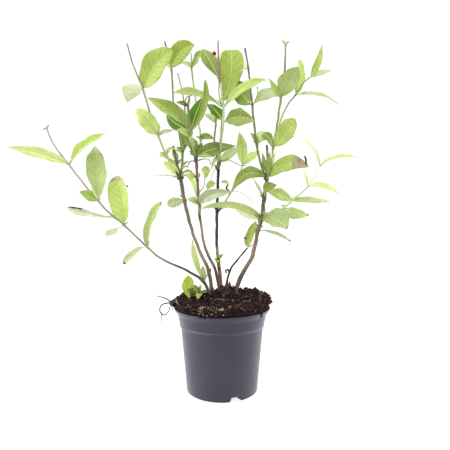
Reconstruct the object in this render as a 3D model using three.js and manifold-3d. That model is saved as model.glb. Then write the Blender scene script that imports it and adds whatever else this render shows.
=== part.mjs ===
// Potted weigela: a young flowering shrub in leaf, in a round plastic nursery pot.
// Millimetres, +Z up, +X to the right and +Y to the back.
// The origin is the centre of the pot's flat underside.
// Five canes stand in the compost. Side shoots fork from them, and the leaves stand at the leaf joints.
import * as THREE from "three";
import { mergeVertices } from "three/addons/utils/BufferGeometryUtils.js";
import Module from "manifold-3d";

const wasm = await Module();
wasm.setup();

// Driving dimensions of the pot and its compost
const POT_HEIGHT = 113;
const RIM_RADIUS = 65;
const BASE_RADIUS = 48.4;
const WALL = 1.3;
const FLOOR = 2.2;
const RIDGE_HEIGHT = 89; // the stacking ridge round the wall
const RIDGE_RADIUS = 57;
const WALL_TOP_RADIUS = 55.7; // the wall just under the ridge
const COLLAR_TOP = 105; // where the collar turns out into the lip
const COLLAR_TOP_RADIUS = 60.4;
const POT_SIDES = 24;
const DRAIN = { count: 3, first: -68, wide: 18.5, narrow: 13, high: 6, deep: 12 };
const MOUND_EDGE = 121; // height of the compost near the rim
const MOUND_SHOULDER = 4; // how far the mound's rounded edge drops
const MOUND_SIDES = 16;
const MOUND_RINGS = [0.92, 0.68, 0.42, 0.15]; // shares of the mound's radius
const MOUND_PEAKS = [
  { x: 6, y: 2, high: 15, spread: 17 },
  { x: 44, y: 4, high: 9, spread: 17 },
  { x: -36, y: -4, high: 4, spread: 14 },
];

// Driving dimensions of the plant
const GAP = 0.3; // clearance between pieces that touch
const LIMB_SIDES = 5;
const LIMB_STEP = 34; // longest straight stretch of a limb
const PAD_STEPS = 5; // stretches along a leaf pad
const PAD_THICK = 2.4;
const STALK_WIDE = 2.2; // a leaf pad's width where it leaves the stem
const FULLEST = 0.45; // place of a leaf pad's greatest width, from stalk to tip
const COLLAR_WIDER = 1; // how far a bud collar stands proud of its stem
const COLLAR_SIDES = 4;
const COLLAR_HALF = 2.5;

// Each limb: its route as [x, y, z, thickness], and the leaves at some of its points.
// A leaf: [compass turn, lift above level, length, width, arch, lean of its face to the front, fullest place].
// Turn 0 is to the right and 90 to the back. Angles are in degrees. The fullest place is a share of the length.
const LIMBS = {
  cane_left: {
    route: [
      [-13, 6, 127, 5.2], [-19, 5, 162, 4.5], [-31, 4, 189, 4.1], [-42, 1, 221, 4],
      [-51, 0, 258, 4.1], [-56, -3, 289, 4.5], [-60, -4, 303, 3.3], [-65, -5, 330, 2.7],
    ],
    leaves: {
      4: [[117, -6, 67, 14, 4, 90, 0.6]],
      5: [[-127, 28, 36, 12, 4, 65], [-53, -30, 52, 9, 12, 25]],
    },
  },
  cane_right: {
    route: [
      [15, 0, 128, 5.6], [29, 0, 160, 5.2], [40, 0, 179, 5], [49, 1, 217, 5], [53, 1, 231, 5.2],
      [57, 4, 258, 4.4], [61, 6, 289, 4.4], [62, 8, 312, 3.1], [61, 10, 333, 2.6],
    ],
    leaves: {
      3: [[-46, -12, 57, 8, 5, 25, 0.55]],
      4: [[-160, 10, 88, 13, 16, 55, 0.3], [-60, -11, 59, 29, 8, 50], [65, -14, 64, 18, 4, 50]],
      6: [[-47, 8, 70, 23, 11, 70], [-144, -20, 63, 18, 13, 75, 0.35], [54, 15, 76, 18, 6, 50]],
    },
  },
  cane_centre: {
    route: [
      [-1, 12, 126, 5.2], [-4, 12, 164, 4.6], [-7, 12, 189, 3.8],
      [-7, 13, 243, 3.5], [-6, 16, 274, 3.4], [-5, 18, 312, 3.8],
    ],
    leaves: {
      3: [[67, 3, 79, 16, 3, 0]],
      5: [[61, 19, 72, 15, 6, 115]],
    },
  },
  cane_inner: {
    route: [
      [-2, -3, 129, 4.2], [-10, -3, 166, 3.6], [-19, -5, 184, 3.6], [-24, -8, 200, 3.2],
      [-29, -13, 234, 3.1], [-30, -16, 251, 3.4], [-32, -20, 284, 2.9], [-33, -23, 314, 3.2],
    ],
    leaves: {
      5: [[-47, 14, 58, 16, 4, 90, 0.35], [118, 12, 40, 10, 3, 60]],
      7: [[48, 14, 79, 20, 6, 85, 0.35], [102, 39, 47, 10, 3, 60]],
    },
  },
  cane_low_left: {
    route: [
      [-16, -4, 128, 3.8], [-25, -6, 148, 3.6], [-49, -12, 165, 2.9], [-79, -18, 180, 2.5],
      [-97, -23, 196, 2.4], [-125, -31, 225, 2.2], [-136, -35, 235, 2.1], [-156, -39, 256, 2.1],
      [-177, -44, 284, 1.9], [-189, -47, 301, 1.9], [-208, -49, 328, 1.7], [-214, -52, 345, 1.6],
    ],
    leaves: {
      1: [[-139, 72, 61, 9, -3, 75, 0.55]],
      4: [[-43, 62, 66, 18, 19, 55], [-113, -13, 55, 8, 11, 40, 0.65]],
      5: [[126, 68, 68, 28, 10, 95], [-104, -11, 47, 14, 3, 40, 0.75], [108, 30, 75, 17, 5, 40]],
      6: [[-122, 11, 74, 9, 2, 65, 0.7]],
      7: [[119, 74, 77, 27, 6, 90], [-100, 14, 46, 13, 2, 50], [106, 31, 82, 17, 5, 40]],
      9: [[-156, 15, 71, 14, 6, 75], [36, 39, 63, 21, 8, 35, 0.5]],
    },
  },
  shoot_left_outer: {
    route: [
      [-58, -5, 290, 2.8], [-72, -16, 315, 2.6], [-82, -23, 340, 2.5], [-91, -29, 367, 2.3],
      [-99, -34, 396, 2.3], [-111, -39, 428, 1.8], [-117, -42, 451, 1.7],
    ],
    leaves: {
      2: [[-129, 39, 44, 22, 1, 100], [69, 18, 46, 11, 2, 30], [110, 22, 74, 17, 4, 40]],
      4: [[-32, 44, 61, 36, 5, 75], [-99, -21, 59, 21, 9, 60, 0.6], [81, 35, 81, 20, 5, 60]],
    },
  },
  shoot_left_upright: {
    route: [
      [-55, 0, 295, 2.9], [-54, 10, 319, 2.7], [-59, 21, 347, 2.4],
      [-68, 31, 391, 2.2], [-72, 39, 442, 2.2], [-82, 44, 484, 1.8],
    ],
    leaves: {
      1: [[84, 43, 81, 16, 5, 30]],
      4: [[-38, 27, 52, 26, 11, 85], [114, 31, 50, 20, 4, 50]],
    },
  },
  shoot_left_back: {
    route: [[-55, 10, 312, 2.3], [-51, 31, 354, 2.1], [-55, 48, 398, 2], [-65, 60, 444, 1.8]],
    leaves: {},
  },
  shoot_inner_green: {
    route: [
      [-34, -23, 313, 3.4], [-39, -35, 336, 3.6], [-39, -39, 343, 3.4], [-41, -51, 371, 2.4], [-39, -56, 383, 1.8],
    ],
    leaves: {
      2: [[-150, 32, 67, 27, 2, 45], [121, 24, 83, 17, 2, 90], [79, 41, 81, 22, 3, 35], [-52, 52, 70, 11, -3, 55, 0.6]],
    },
  },
  shoot_inner_tall: {
    route: [
      [-32, -22, 315, 2.6], [-28, -8, 337, 2.5], [-32, 12, 364, 2.3],
      [-38, 34, 403, 2.2], [-44, 49, 448, 2.3], [-45, 56, 472, 1.9],
    ],
    leaves: {
      2: [[94, 30, 79, 16, 5, 30]],
      4: [[120, 29, 48, 13, 0, 35], [-65, 21, 36, 14, 3, 65, 0.6]],
    },
  },
  shoot_centre_green: {
    route: [[-4, 17, 310, 3.2], [-2, 4, 332, 3.2], [2, -16, 359, 2.9], [2, -27, 375, 2.6], [-2, -40, 402, 1.9]],
    leaves: {
      2: [[112, 30, 72, 14, 3, 80], [-54, -8, 68, 24, 6, 85]],
      3: [[-142, 6, 75, 20, 7, 55, 0.55], [-35, 25, 67, 16, 7, 60]],
    },
  },
  shoot_centre_red: {
    route: [
      [-5, 20, 312, 2.8], [-1, 27, 356, 2.6], [1, 34, 397, 2.5],
      [-4, 39, 428, 2.6], [-5, 43, 457, 2], [-6, 47, 486, 1.7],
    ],
    leaves: {
      2: [[61, 74, 87, 36, -7, 85, 0.7], [70, 15, 85, 18, 5, 30]],
      3: [[123, 49, 76, 22, 5, 80, 0.5], [70, 23, 81, 17, 5, 30]],
    },
  },
  shoot_centre_short: {
    route: [[-5, 22, 309, 2.6], [-11, 34, 340, 2.2], [-9, 44, 367, 2.2]],
    leaves: {
      2: [[112, 26, 53, 13, 3, 40], [-73, 38, 20, 11, 3, 50]],
    },
  },
  shoot_centre_right: {
    route: [[-6, 16, 241, 2.2], [5, 23, 257, 2], [23, 35, 289, 1.9], [29, 40, 308, 1.8]],
    leaves: {
      3: [[-103, 60, 50, 15, 4, 75], [56, 24, 54, 12, 5, 70]],
    },
  },
  shoot_right_tall: {
    route: [
      [59, 8, 286, 2.9], [51, 16, 317, 2.6], [48, 20, 334, 2.8],
      [42, 30, 391, 2.5], [37, 38, 444, 2.3], [32, 40, 473, 2.4],
    ],
    leaves: {
      2: [[70, 21, 77, 18, 5, 40]],
      3: [[120, 41, 69, 28, -2, 110], [50, 26, 74, 22, 3, 70, 0.6]],
    },
  },
  shoot_right_outer: {
    route: [
      [61, 5, 286, 2.8], [67, -3, 314, 2.6], [68, -6, 327, 2.8], [73, -14, 362, 2.5],
      [76, -20, 389, 2.8], [80, -26, 425, 2.3], [80, -31, 456, 2.1],
    ],
    leaves: {
      2: [[-69, 26, 64, 23, 4, 70, 0.55], [106, 32, 46, 14, 4, 60, 0.6]],
      4: [[-68, 37, 54, 25, 1, 100], [53, 39, 70, 14, 3, 60], [-123, 27, 39, 9, -1, 90]],
    },
  },
  shoot_right_fork: {
    route: [
      [69, -5, 328, 2.2], [80, 10, 367, 2.2], [91, 20, 390, 2.1],
      [102, 26, 404, 2.1], [115, 32, 423, 1.8], [123, 35, 430, 1.7],
    ],
    leaves: {
      3: [[69, 60, 73, 14, -2, 110], [-33, -16, 69, 9, 7, 55, 0.3]],
      5: [[-67, 53, 49, 12, -4, 55], [45, 23, 70, 12, 0, 50]],
    },
  },
  shoot_right_low: {
    route: [
      [54, 4, 231, 2.4], [87, 26, 247, 2.2], [100, 35, 257, 2.2],
      [125, 49, 278, 2], [139, 60, 297, 1.9], [146, 66, 309, 1.8],
    ],
    leaves: {
      1: [[-66, -10, 66, 17, -1, 50]],
      2: [[-138, 15, 51, 16, 1, 70], [33, 0, 75, 18, 4, 40]],
      3: [[-39, -15, 54, 16, 6, 35, 0.3]],
      5: [[139, 44, 69, 9, 13, 50, 0.3], [-27, 6, 60, 10, 9, 30, 0.3]],
    },
  },
  shoot_right_foot: {
    route: [[4, -12, 131, 2.6], [10, -16, 163, 2.1], [23, -22, 183, 1.9], [33, -29, 196, 1.8]],
    leaves: {
      3: [[-60, 60, 41, 12, 4, 80]],
    },
  },
};

const UP = new THREE.Vector3(0, 0, 1);
const FRONT = new THREE.Vector3(0, -1, 0);

function finish(color, roughness) {
  return new THREE.MeshStandardMaterial({ color, roughness, metalness: 0 });
}

// Solids: closed meshes as manifolds, which join and cut, and back again.
function solidOf(geometry) {
  const bare = geometry.clone();
  bare.deleteAttribute("normal");
  bare.deleteAttribute("uv");
  const merged = mergeVertices(bare, 1e-4);
  return new wasm.Manifold(new wasm.Mesh({
    numProp: 3,
    vertProperties: new Float32Array(merged.attributes.position.array),
    triVerts: new Uint32Array(merged.index.array),
  }));
}

function geometryOf(solid) {
  const { vertProperties, triVerts } = solid.getMesh();
  const geometry = new THREE.BufferGeometry();
  geometry.setAttribute("position", new THREE.BufferAttribute(vertProperties, 3));
  geometry.setIndex(new THREE.BufferAttribute(triVerts, 1));
  geometry.computeVertexNormals();
  return geometry;
}

function namedMesh(name, solid, material) {
  const mesh = new THREE.Mesh(geometryOf(solid), material);
  mesh.name = name;
  return mesh;
}

function union(solids) {
  return solids.reduce((all, one) => all.add(one));
}

function cutBy(solid, cutters) {
  return cutters.reduce((rest, cutter) => rest.subtract(cutter), solid);
}

function largestBody(solid) {
  return solid.decompose().reduce((best, body) => (body.volume() > best.volume() ? body : best));
}

// A closed skin over rings of points. Each ring runs anticlockwise seen from the end that it leads to.
function loft(rings) {
  const sides = rings[0].length;
  const last = (rings.length - 1) * sides;
  const faces = [];
  for (let ring = 0; ring < last; ring += sides) {
    for (let side = 0; side < sides; side += 1) {
      const next = (side + 1) % sides;
      faces.push(ring + side, ring + next, ring + sides + next);
      faces.push(ring + side, ring + sides + next, ring + sides + side);
    }
  }
  for (let side = 1; side < sides - 1; side += 1) {
    faces.push(0, side + 1, side);
    faces.push(last, last + side, last + side + 1);
  }
  const geometry = new THREE.BufferGeometry().setFromPoints(rings.flat());
  geometry.setIndex(faces);
  return solidOf(geometry);
}

// The unit vector nearest to wanted that stands square to direction.
function squareTo(direction, wanted) {
  return wanted.clone().addScaledVector(direction, -wanted.dot(direction)).normalize();
}

function roundRing(centre, direction, radius, sides) {
  const front = squareTo(direction, FRONT);
  const across = direction.clone().cross(front);
  return Array.from({ length: sides }, (_, side) => {
    const angle = (2 * Math.PI * side) / sides;
    return centre.clone()
      .addScaledVector(front, radius * Math.cos(angle))
      .addScaledVector(across, radius * Math.sin(angle));
  });
}

// A limb: a smooth curve through its route, its thickness running evenly from point to point.
function limbCurve(route) {
  const points = route.map(([x, y, z]) => new THREE.Vector3(x, y, z));
  return new THREE.CatmullRomCurve3(points, false, "centripetal");
}

function limbSolid(route, grow = 0) {
  const curve = limbCurve(route);
  const stretches = route.length - 1;
  const rings = [];
  for (let point = 0; point < stretches; point += 1) {
    const [from, to] = [curve.points[point], curve.points[point + 1]];
    const steps = Math.ceil(from.distanceTo(to) / LIMB_STEP);
    for (let step = point === 0 ? 0 : 1; step <= steps; step += 1) {
      const part = step / steps;
      const place = (point + part) / stretches;
      const thick = THREE.MathUtils.lerp(route[point][3], route[point + 1][3], part);
      const past = { 0: -grow, 1: grow }[place] ?? 0;
      const direction = curve.getTangent(place);
      const centre = curve.getPoint(place).addScaledVector(direction, past);
      rings.push(roundRing(centre, direction, thick / 2 + grow, LIMB_SIDES));
    }
  }
  return loft(rings);
}

// A leaf pad: a thin lens-shaped blade. Its midrib leaves the stem along turn and lift, bows up by arch,
// and its width swells from a narrow stalk to its fullest place and draws out to a fine tip.
function padWidth(part, wide, full) {
  const stretched = part ** (Math.log(0.5) / Math.log(full));
  const swell = Math.sin(Math.PI * stretched) ** 0.9 * (1 - 0.25 * part ** 3);
  return Math.max(STALK_WIDE * (1 - part), wide * swell, 0.5);
}

function padSolid(base, [turn, lift, long, wide, arch, lean, full = FULLEST], uneven, grow = 0) {
  const [heading, rise, tilt] = [turn, lift, lean].map(THREE.MathUtils.degToRad);
  const direction = new THREE.Vector3(
    Math.cos(heading) * Math.cos(rise),
    Math.sin(heading) * Math.cos(rise),
    Math.sin(rise),
  );
  const upward = squareTo(direction, UP);
  const normal = upward.clone().multiplyScalar(Math.cos(tilt))
    .addScaledVector(squareTo(direction, FRONT), Math.sin(tilt))
    .normalize();
  const across = normal.clone().cross(direction);
  const rings = [];
  for (let step = 0; step <= PAD_STEPS; step += 1) {
    const part = step / PAD_STEPS;
    const centre = base.clone()
      .addScaledVector(direction, long * part + (step === PAD_STEPS ? grow : 0))
      .addScaledVector(upward, 4 * arch * part * (1 - part));
    const half = (padWidth(part, wide, full) / 2) * (1 + 0.08 * Math.sin(5 * part + uneven));
    const thick = PAD_THICK * (1 - 0.55 * part) / 2;
    rings.push([
      centre.clone().addScaledVector(across, half + 2 * grow),
      centre.clone().addScaledVector(normal, thick + 2 * grow),
      centre.clone().addScaledVector(across, -half * (1 - 0.06 * Math.cos(uneven)) - 2 * grow),
      centre.clone().addScaledVector(normal, -thick - 2 * grow),
    ]);
  }
  return loft(rings);
}

// A mass of leaves: the pads of one leaf joint, which the bud collar round the stem holds together.
function massSolid(route, point, leaves, grow = 0) {
  const curve = limbCurve(route);
  const place = point / (route.length - 1);
  const [centre, direction] = [curve.getPoint(place), curve.getTangent(place)];
  const radius = (route[point][3] / 2 + COLLAR_WIDER + grow) / Math.cos(Math.PI / COLLAR_SIDES);
  const collar = [-1, 1].map((along) => roundRing(
    centre.clone().addScaledVector(direction, along * (COLLAR_HALF + grow)),
    direction,
    radius,
    COLLAR_SIDES,
  ));
  const pads = leaves.map((leaf, count) => padSolid(centre, leaf, point + 2 * count, grow));
  return leaves.length === 1 ? pads[0] : union([loft(collar), ...pads]);
}

// The pot: a thin tapered wall with a flat floor, a stacking ridge, a collar and an outward lip.
function potSolid() {
  const inside = WALL_TOP_RADIUS - WALL;
  const profile = [
    [0, 0], [BASE_RADIUS - 0.8, 0], [BASE_RADIUS, 0.8],
    [WALL_TOP_RADIUS, RIDGE_HEIGHT - 1.4], [RIDGE_RADIUS, RIDGE_HEIGHT - 0.4],
    [RIDGE_RADIUS + 0.3, RIDGE_HEIGHT + 1],
    [COLLAR_TOP_RADIUS, COLLAR_TOP], [RIM_RADIUS - 0.6, POT_HEIGHT - 2.4], [RIM_RADIUS, POT_HEIGHT],
    [RIM_RADIUS - WALL, POT_HEIGHT], [COLLAR_TOP_RADIUS - WALL, COLLAR_TOP + 0.4], [inside, RIDGE_HEIGHT],
    [BASE_RADIUS - WALL, FLOOR], [0, FLOOR],
  ];
  const shell = new THREE.LatheGeometry(profile.map(([r, z]) => new THREE.Vector2(r, z)), POT_SIDES);
  shell.rotateX(Math.PI / 2);
  return cutBy(solidOf(shell), drainSlots());
}

// Drain slots: trapezoids cut through the foot of the wall and the edge of the floor.
function drainSlots() {
  const outline = new THREE.Shape([
    new THREE.Vector2(-DRAIN.wide / 2, -1),
    new THREE.Vector2(DRAIN.wide / 2, -1),
    new THREE.Vector2(DRAIN.narrow / 2, DRAIN.high),
    new THREE.Vector2(-DRAIN.narrow / 2, DRAIN.high),
  ]);
  return Array.from({ length: DRAIN.count }, (_, slot) => {
    const cutter = new THREE.ExtrudeGeometry(outline, { depth: 2 * DRAIN.deep, bevelEnabled: false });
    const angle = THREE.MathUtils.degToRad(DRAIN.first + (360 / DRAIN.count) * slot);
    cutter.rotateX(Math.PI / 2).rotateZ(Math.PI / 2);
    cutter.translate(BASE_RADIUS - DRAIN.deep, 0, 0).rotateZ(angle);
    return solidOf(cutter);
  });
}

// The compost: it fills the pot and stands over the rim in an uneven mound.
function moundHeight(x, y) {
  const peaks = MOUND_PEAKS.reduce((sum, peak) => {
    const away = ((x - peak.x) ** 2 + (y - peak.y) ** 2) / (2 * peak.spread ** 2);
    return sum + peak.high * Math.exp(-away);
  }, 0);
  return MOUND_EDGE + peaks + 1.2 * Math.sin(x / 5 + 1) * Math.cos(y / 6);
}

function compostSolid() {
  const clear = WALL + 2 * GAP;
  const inPot = [
    [BASE_RADIUS - clear, FLOOR + GAP],
    [WALL_TOP_RADIUS - clear, RIDGE_HEIGHT],
    [COLLAR_TOP_RADIUS - clear, COLLAR_TOP + 1],
    [RIM_RADIUS - clear - 1, POT_HEIGHT],
  ].map(([radius, height]) => compostRing(() => radius, () => height));
  const shoulder = compostRing(moundEdge, (x, y) => moundHeight(x, y) - MOUND_SHOULDER);
  const mound = MOUND_RINGS.map((share) => compostRing((angle) => share * moundEdge(angle), moundHeight));
  return loft([...inPot, shoulder, ...mound]);
}

function moundEdge(angle) {
  return RIM_RADIUS - 1 + 1.4 * Math.sin(3 * angle + 1) + Math.sin(7 * angle);
}

function compostRing(radiusAt, heightAt) {
  return Array.from({ length: MOUND_SIDES }, (_, side) => {
    const angle = (2 * Math.PI * side) / MOUND_SIDES;
    const [x, y] = [radiusAt(angle) * Math.cos(angle), radiusAt(angle) * Math.sin(angle)];
    return new THREE.Vector3(x, y, heightAt(x, y));
  });
}

const PLASTIC = finish(0x4b4855, 0.45);
const COMPOST = finish(0x2b1d17, 0.95);
const BARK = finish(0x8a6a4c, 0.8);
const RED_BARK = finish(0x7c4a35, 0.75);
const GREEN_BARK = finish(0x86995a, 0.7);
const LEAF = finish(0x8fb552, 0.6);
const barkOf = (name) => (name.includes("green") ? GREEN_BARK : name.includes("red") ? RED_BARK : BARK);

const plant = new THREE.Group();
const limbCutters = [];
const massCutters = [];

for (const [name, { route }] of Object.entries(LIMBS)) {
  const limb = largestBody(cutBy(limbSolid(route), limbCutters));
  plant.add(namedMesh(name, limb, barkOf(name)));
  limbCutters.push(limbSolid(route, GAP));
}

for (const [name, { route, leaves }] of Object.entries(LIMBS)) {
  Object.entries(leaves).forEach(([point, blades], count) => {
    const mass = cutBy(massSolid(route, Number(point), blades), [...limbCutters, ...massCutters]);
    const place = name.replace("cane_", "").replace("shoot_", "");
    plant.add(namedMesh(`leaves_${place}_${count + 1}`, largestBody(mass), LEAF));
    massCutters.push(massSolid(route, Number(point), blades, GAP));
  });
}

plant.add(namedMesh("pot", potSolid(), PLASTIC));
plant.add(namedMesh("compost", cutBy(compostSolid(), limbCutters), COMPOST));

export default plant;
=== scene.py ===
import bpy
import numpy as np
from bpy.props import FloatProperty, FloatVectorProperty, IntProperty, PointerProperty
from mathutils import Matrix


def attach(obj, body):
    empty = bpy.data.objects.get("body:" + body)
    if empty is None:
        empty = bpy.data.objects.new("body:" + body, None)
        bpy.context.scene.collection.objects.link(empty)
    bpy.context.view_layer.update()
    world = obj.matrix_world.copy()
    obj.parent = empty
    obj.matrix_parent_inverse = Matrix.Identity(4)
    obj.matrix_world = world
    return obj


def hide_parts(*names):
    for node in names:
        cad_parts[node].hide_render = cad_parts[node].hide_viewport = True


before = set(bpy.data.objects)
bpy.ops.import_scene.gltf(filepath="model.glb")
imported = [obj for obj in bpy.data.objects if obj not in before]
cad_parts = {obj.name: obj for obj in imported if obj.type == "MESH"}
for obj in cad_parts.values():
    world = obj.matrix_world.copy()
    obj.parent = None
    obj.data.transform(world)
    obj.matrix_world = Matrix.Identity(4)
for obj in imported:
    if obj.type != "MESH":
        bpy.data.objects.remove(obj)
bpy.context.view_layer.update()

bl_info = {
    "name": "Potted weigela",
    "version": (1, 0, 0),
    "blender": (4, 5, 0),
    "location": "3D View > Sidebar > Weigela",
    "description": "Builds a young weigela in leaf, its nursery pot and its compost",
    "category": "Add Mesh",
}

MM = 0.001
UP = np.array([0.0, 0.0, 1.0])
FRONT = np.array([0.0, -1.0, 0.0])


def linear(red, green, blue):
    """A colour given as 0 to 255 display values, as linear light with full alpha."""
    shares = np.array([red, green, blue]) / 255
    light = np.where(shares <= 0.04045, shares / 12.92, ((shares + 0.055) / 1.055) ** 2.4)
    return (*(float(value) for value in light), 1.0)


# Pot sizes in millimetres
POT_HEIGHT = 113
RIM_RADIUS = 65
BASE_RADIUS = 48.4
WALL = 1.3
POT_FLOOR = 2.2
RIDGE_HEIGHT = 89
RIDGE_RADIUS = 57
RIDGE_TOP = 91.4
WALL_TOP_RADIUS = 55.7
COLLAR_TOP = 105
COLLAR_TOP_RADIUS = 60.4
POT_SIDES = 240
DRAIN = {"count": 3, "first": -68, "wide": 18.5, "narrow": 13, "high": 6, "deep": 12}
NICK = {"angle": -39, "wide": 0.035, "foot": 104, "edge": 108, "drop": 1.2}
GAP = 0.3

# Compost: the mound, the brow where it falls off, its shoulder at the front left and the heap of bark on it
MOUND_EDGE = 121
MOUND_PEAKS = [(6, 2, 15, 17), (44, 4, 9, 17), (-36, -4, 4, 14)]  # x, y, height, spread
BROW = {"share": 0.93, "wide": 0.07, "drop": 4}
SHOULDER = {"turns": (-117, -88), "reach": (54, 66.8), "edge": 62.5, "fall": 1.7, "lift": 2}
HEAP = {"x": 10, "y": -3, "spread": 14, "high": 9.5}
STREWN = {"chips": 36, "heap chips": 90, "shoulder chips": 44, "grit": 60, "shoulder grit": 60}
PEBBLE = {"place": (-1, -62.5, 122.6), "size": (2.8, 2.4, 2.4)}
LUMP_ROWS, LUMP_SIDES = 3, 5
FIBRE_REACH = 66
PALE_FIBRE = 9  # every so many fibres is a pale one

# Lumps that lean over the lip on both sides, and crumbs that lie on it or have run down its face
OVERHANG = [
    (-66, -4, 119), (-69, -6, 118), (-68, -9, 117), (-70, -3, 117), (-66, 1, 121), (-68, -2, 120),
    (-65, -12, 118), (64, 4, 121.5), (66, 2, 119.5), (67, 5, 118.5), (65, -4, 118), (63, 8, 123),
    (-64, -5, 119.5), (-65, -7, 117), (-66, -5, 115.5), (-65, -9, 115), (-63, -8, 121), (-62, -5, 119),
    (-62, -9, 118), (-61, -7, 116), (-63, -4, 116.5),
]
SPILL = [
    (-24, -61, 113.2), (-27, -59.5, 113.4), (-21, -62, 113), (-12, -63.5, 113.6), (-8, -64, 113.2),
    (-15, -62.6, 113.4), (50, -41, 111), (51, -41.4, 109.4), (49.4, -42.4, 112), (50.6, -40, 112.2),
]

# Fine roots that hang over the lip on the left and lie on the mound: route, thickness, and 1 for a pale one
ROOTS = [
    ([(-64, -6, 120), (-71, -6, 122), (-78, -7, 126), (-88, -8, 129)], 1.9, 0),
    ([(-66, -6, 119), (-74, -7, 119), (-82, -8, 116), (-84, -8, 110), (-82, -8, 105), (-77, -8, 103),
      (-72, -7, 108), (-70, -7, 114), (-67, -6, 118)], 1.8, 0),
    ([(-82, -8, 105), (-81.5, -9, 99), (-82, -9, 94)], 1.1, 0),
    ([(-64, -8, 117), (-67, -8, 112), (-66, -9, 108)], 1.3, 0),
    ([(-61, -12, 123.6), (-58, -24, 122.4), (-53, -34, 121), (-46, -43, 118.5)], 1.2, 1),
    ([(-36, -30, 125), (-30, -34, 125.4), (-24, -38, 125)], 1.0, 0),
    ([(-8, -24, 127.6), (-2, -25, 128.2), (4, -26, 127.8)], 1.0, 1),
]

# First seeds of everything that is drawn at random
SEEDS = {
    "crumbs": 11, "crumb shapes": 12, "overhang shapes": 13, "chip shapes": 14, "grit shapes": 15,
    "spill shapes": 16, "fibres": 21, "roots": 31, "stems": 100, "young leaves": 500, "leaves": 1000,
}

# The closed flower bud
BUD = {"base": (-6.5, 41, 457), "tip": (-12.5, 40.5, 468), "ball": 2.6, "rings": 22, "sides": 16}
BUD_RED = ((122, 22, 48), (88, 10, 34))
BUD_TUBE = ((226, 168, 158), (206, 140, 132))

# Stage: directions of the light panels, and the camera
LEFT_PANEL = (-1.0, -0.15, 0.45)
RIGHT_PANEL = (0.95, 0.15, 0.3)
TOP_PANEL = (0.0, -0.3, 1.0)
FLOOR_HALF = 6.0
CAMERA = {"place": (0.004, -0.6, 0.255), "down": 2.95, "lens": 35.52}

# Leaf grid: rows along the blade and places across one half of it
LEAF_ROWS = 50
LEAF_COLUMNS = np.array([0, 0.2, 0.42, 0.62, 0.8, 0.93, 1])
VEIN_PAIRS = 7
VEIN_SLOPE = 1.5

# Bark and shoot tones
TONES = {
    "black": (25, 19, 16),
    "dark": (50, 40, 32),
    "dusk": (75, 64, 52),
    "grey": (95, 86, 70),
    "pink": (107, 93, 77),
    "pale": (120, 113, 95),
    "mauve": (132, 122, 111),
    "straw": (138, 129, 109),
    "red": (98, 68, 50),
    "loam": (66, 54, 45),
    "plum": (62, 45, 43),
    "brick": (109, 77, 61),
    "umber": (77, 63, 54),
    "olive": (91, 97, 50),
    "green": (113, 125, 72),
    "light": (148, 161, 113),
    "wan": (181, 188, 155),
}

# Leaf tints: upper face, underside. They are partly the leaves' own greens and partly painted light and
# shade: blades that catch the light were given lighter tints such as sunny, and blades in the shade of others
# darker ones such as shade.
TINTS = {
    "pale": ((166, 170, 143), (169, 172, 149)),
    # sunny: painted light, a lighter green for brightly lit blades
    "sunny": ((173, 189, 111), (176, 188, 124)),
    "lime": ((150, 163, 102), (153, 163, 117)),
    "faint": ((131, 139, 106), (135, 144, 115)),
    "bright": ((142, 160, 82), (147, 159, 105)),
    "mid": ((126, 140, 82), (134, 144, 105)),
    "lush": ((119, 137, 62), (132, 144, 95)),
    "sage": ((110, 124, 78), (120, 130, 92)),
    "grass": ((110, 127, 48), (127, 138, 89)),
    "young": ((136, 155, 56), (142, 157, 76)),
    "deep": ((99, 114, 48), (121, 131, 90)),
    "dark": ((82, 100, 30), (110, 123, 70)),
    # shade: painted shade, a darker green for blades in the shade of others
    "shade": ((50, 80, 3), (78, 99, 20)),
}

DULL_TINTS = ("shade",)
YOUNG_TINTS = ("bright", "mid", "lush")
CHARRED = (0.012, 0.01, 0.01, 1.0)

LEAF_SHAPE = {
    "full": 0.42,  # place of the greatest width, from stalk to tip
    "blunt": 0.0,  # 0 draws the tip out, 1 rounds it
    "skew": 0.0,  # how far the widest place of one half is moved on, and of the other half back
    "lop": 0.0,  # share by which one half is wider and the other narrower
    "curl": 0.0,  # degrees that the end bends towards its upper face
    "sway": 0.0,  # millimetres that the midrib bows sideways
    "twist": 0.0,  # degrees that the blade turns about its midrib
    "fold": 20.0,  # degrees that each half rises from the midrib
    "stalk": 0.05,  # share of the length that is stalk
    "dry": 2.0,  # share from which the end is dry and brown, past 1 for nowhere
    "char": 2.0,  # share from which the end is black
    "edge": 2.0,  # share from which one margin is black
}


def leaf(turn, lift, long, wide, arch, lean, tint, **shape):
    """One leaf: compass turn and lift of its midrib, length, width, upward bow, and lean of its face to the
    front."""
    sizes = {"turn": turn, "lift": lift, "long": long, "wide": wide, "arch": arch, "lean": lean}
    return {**LEAF_SHAPE, **sizes, "tint": tint, **shape}


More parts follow.
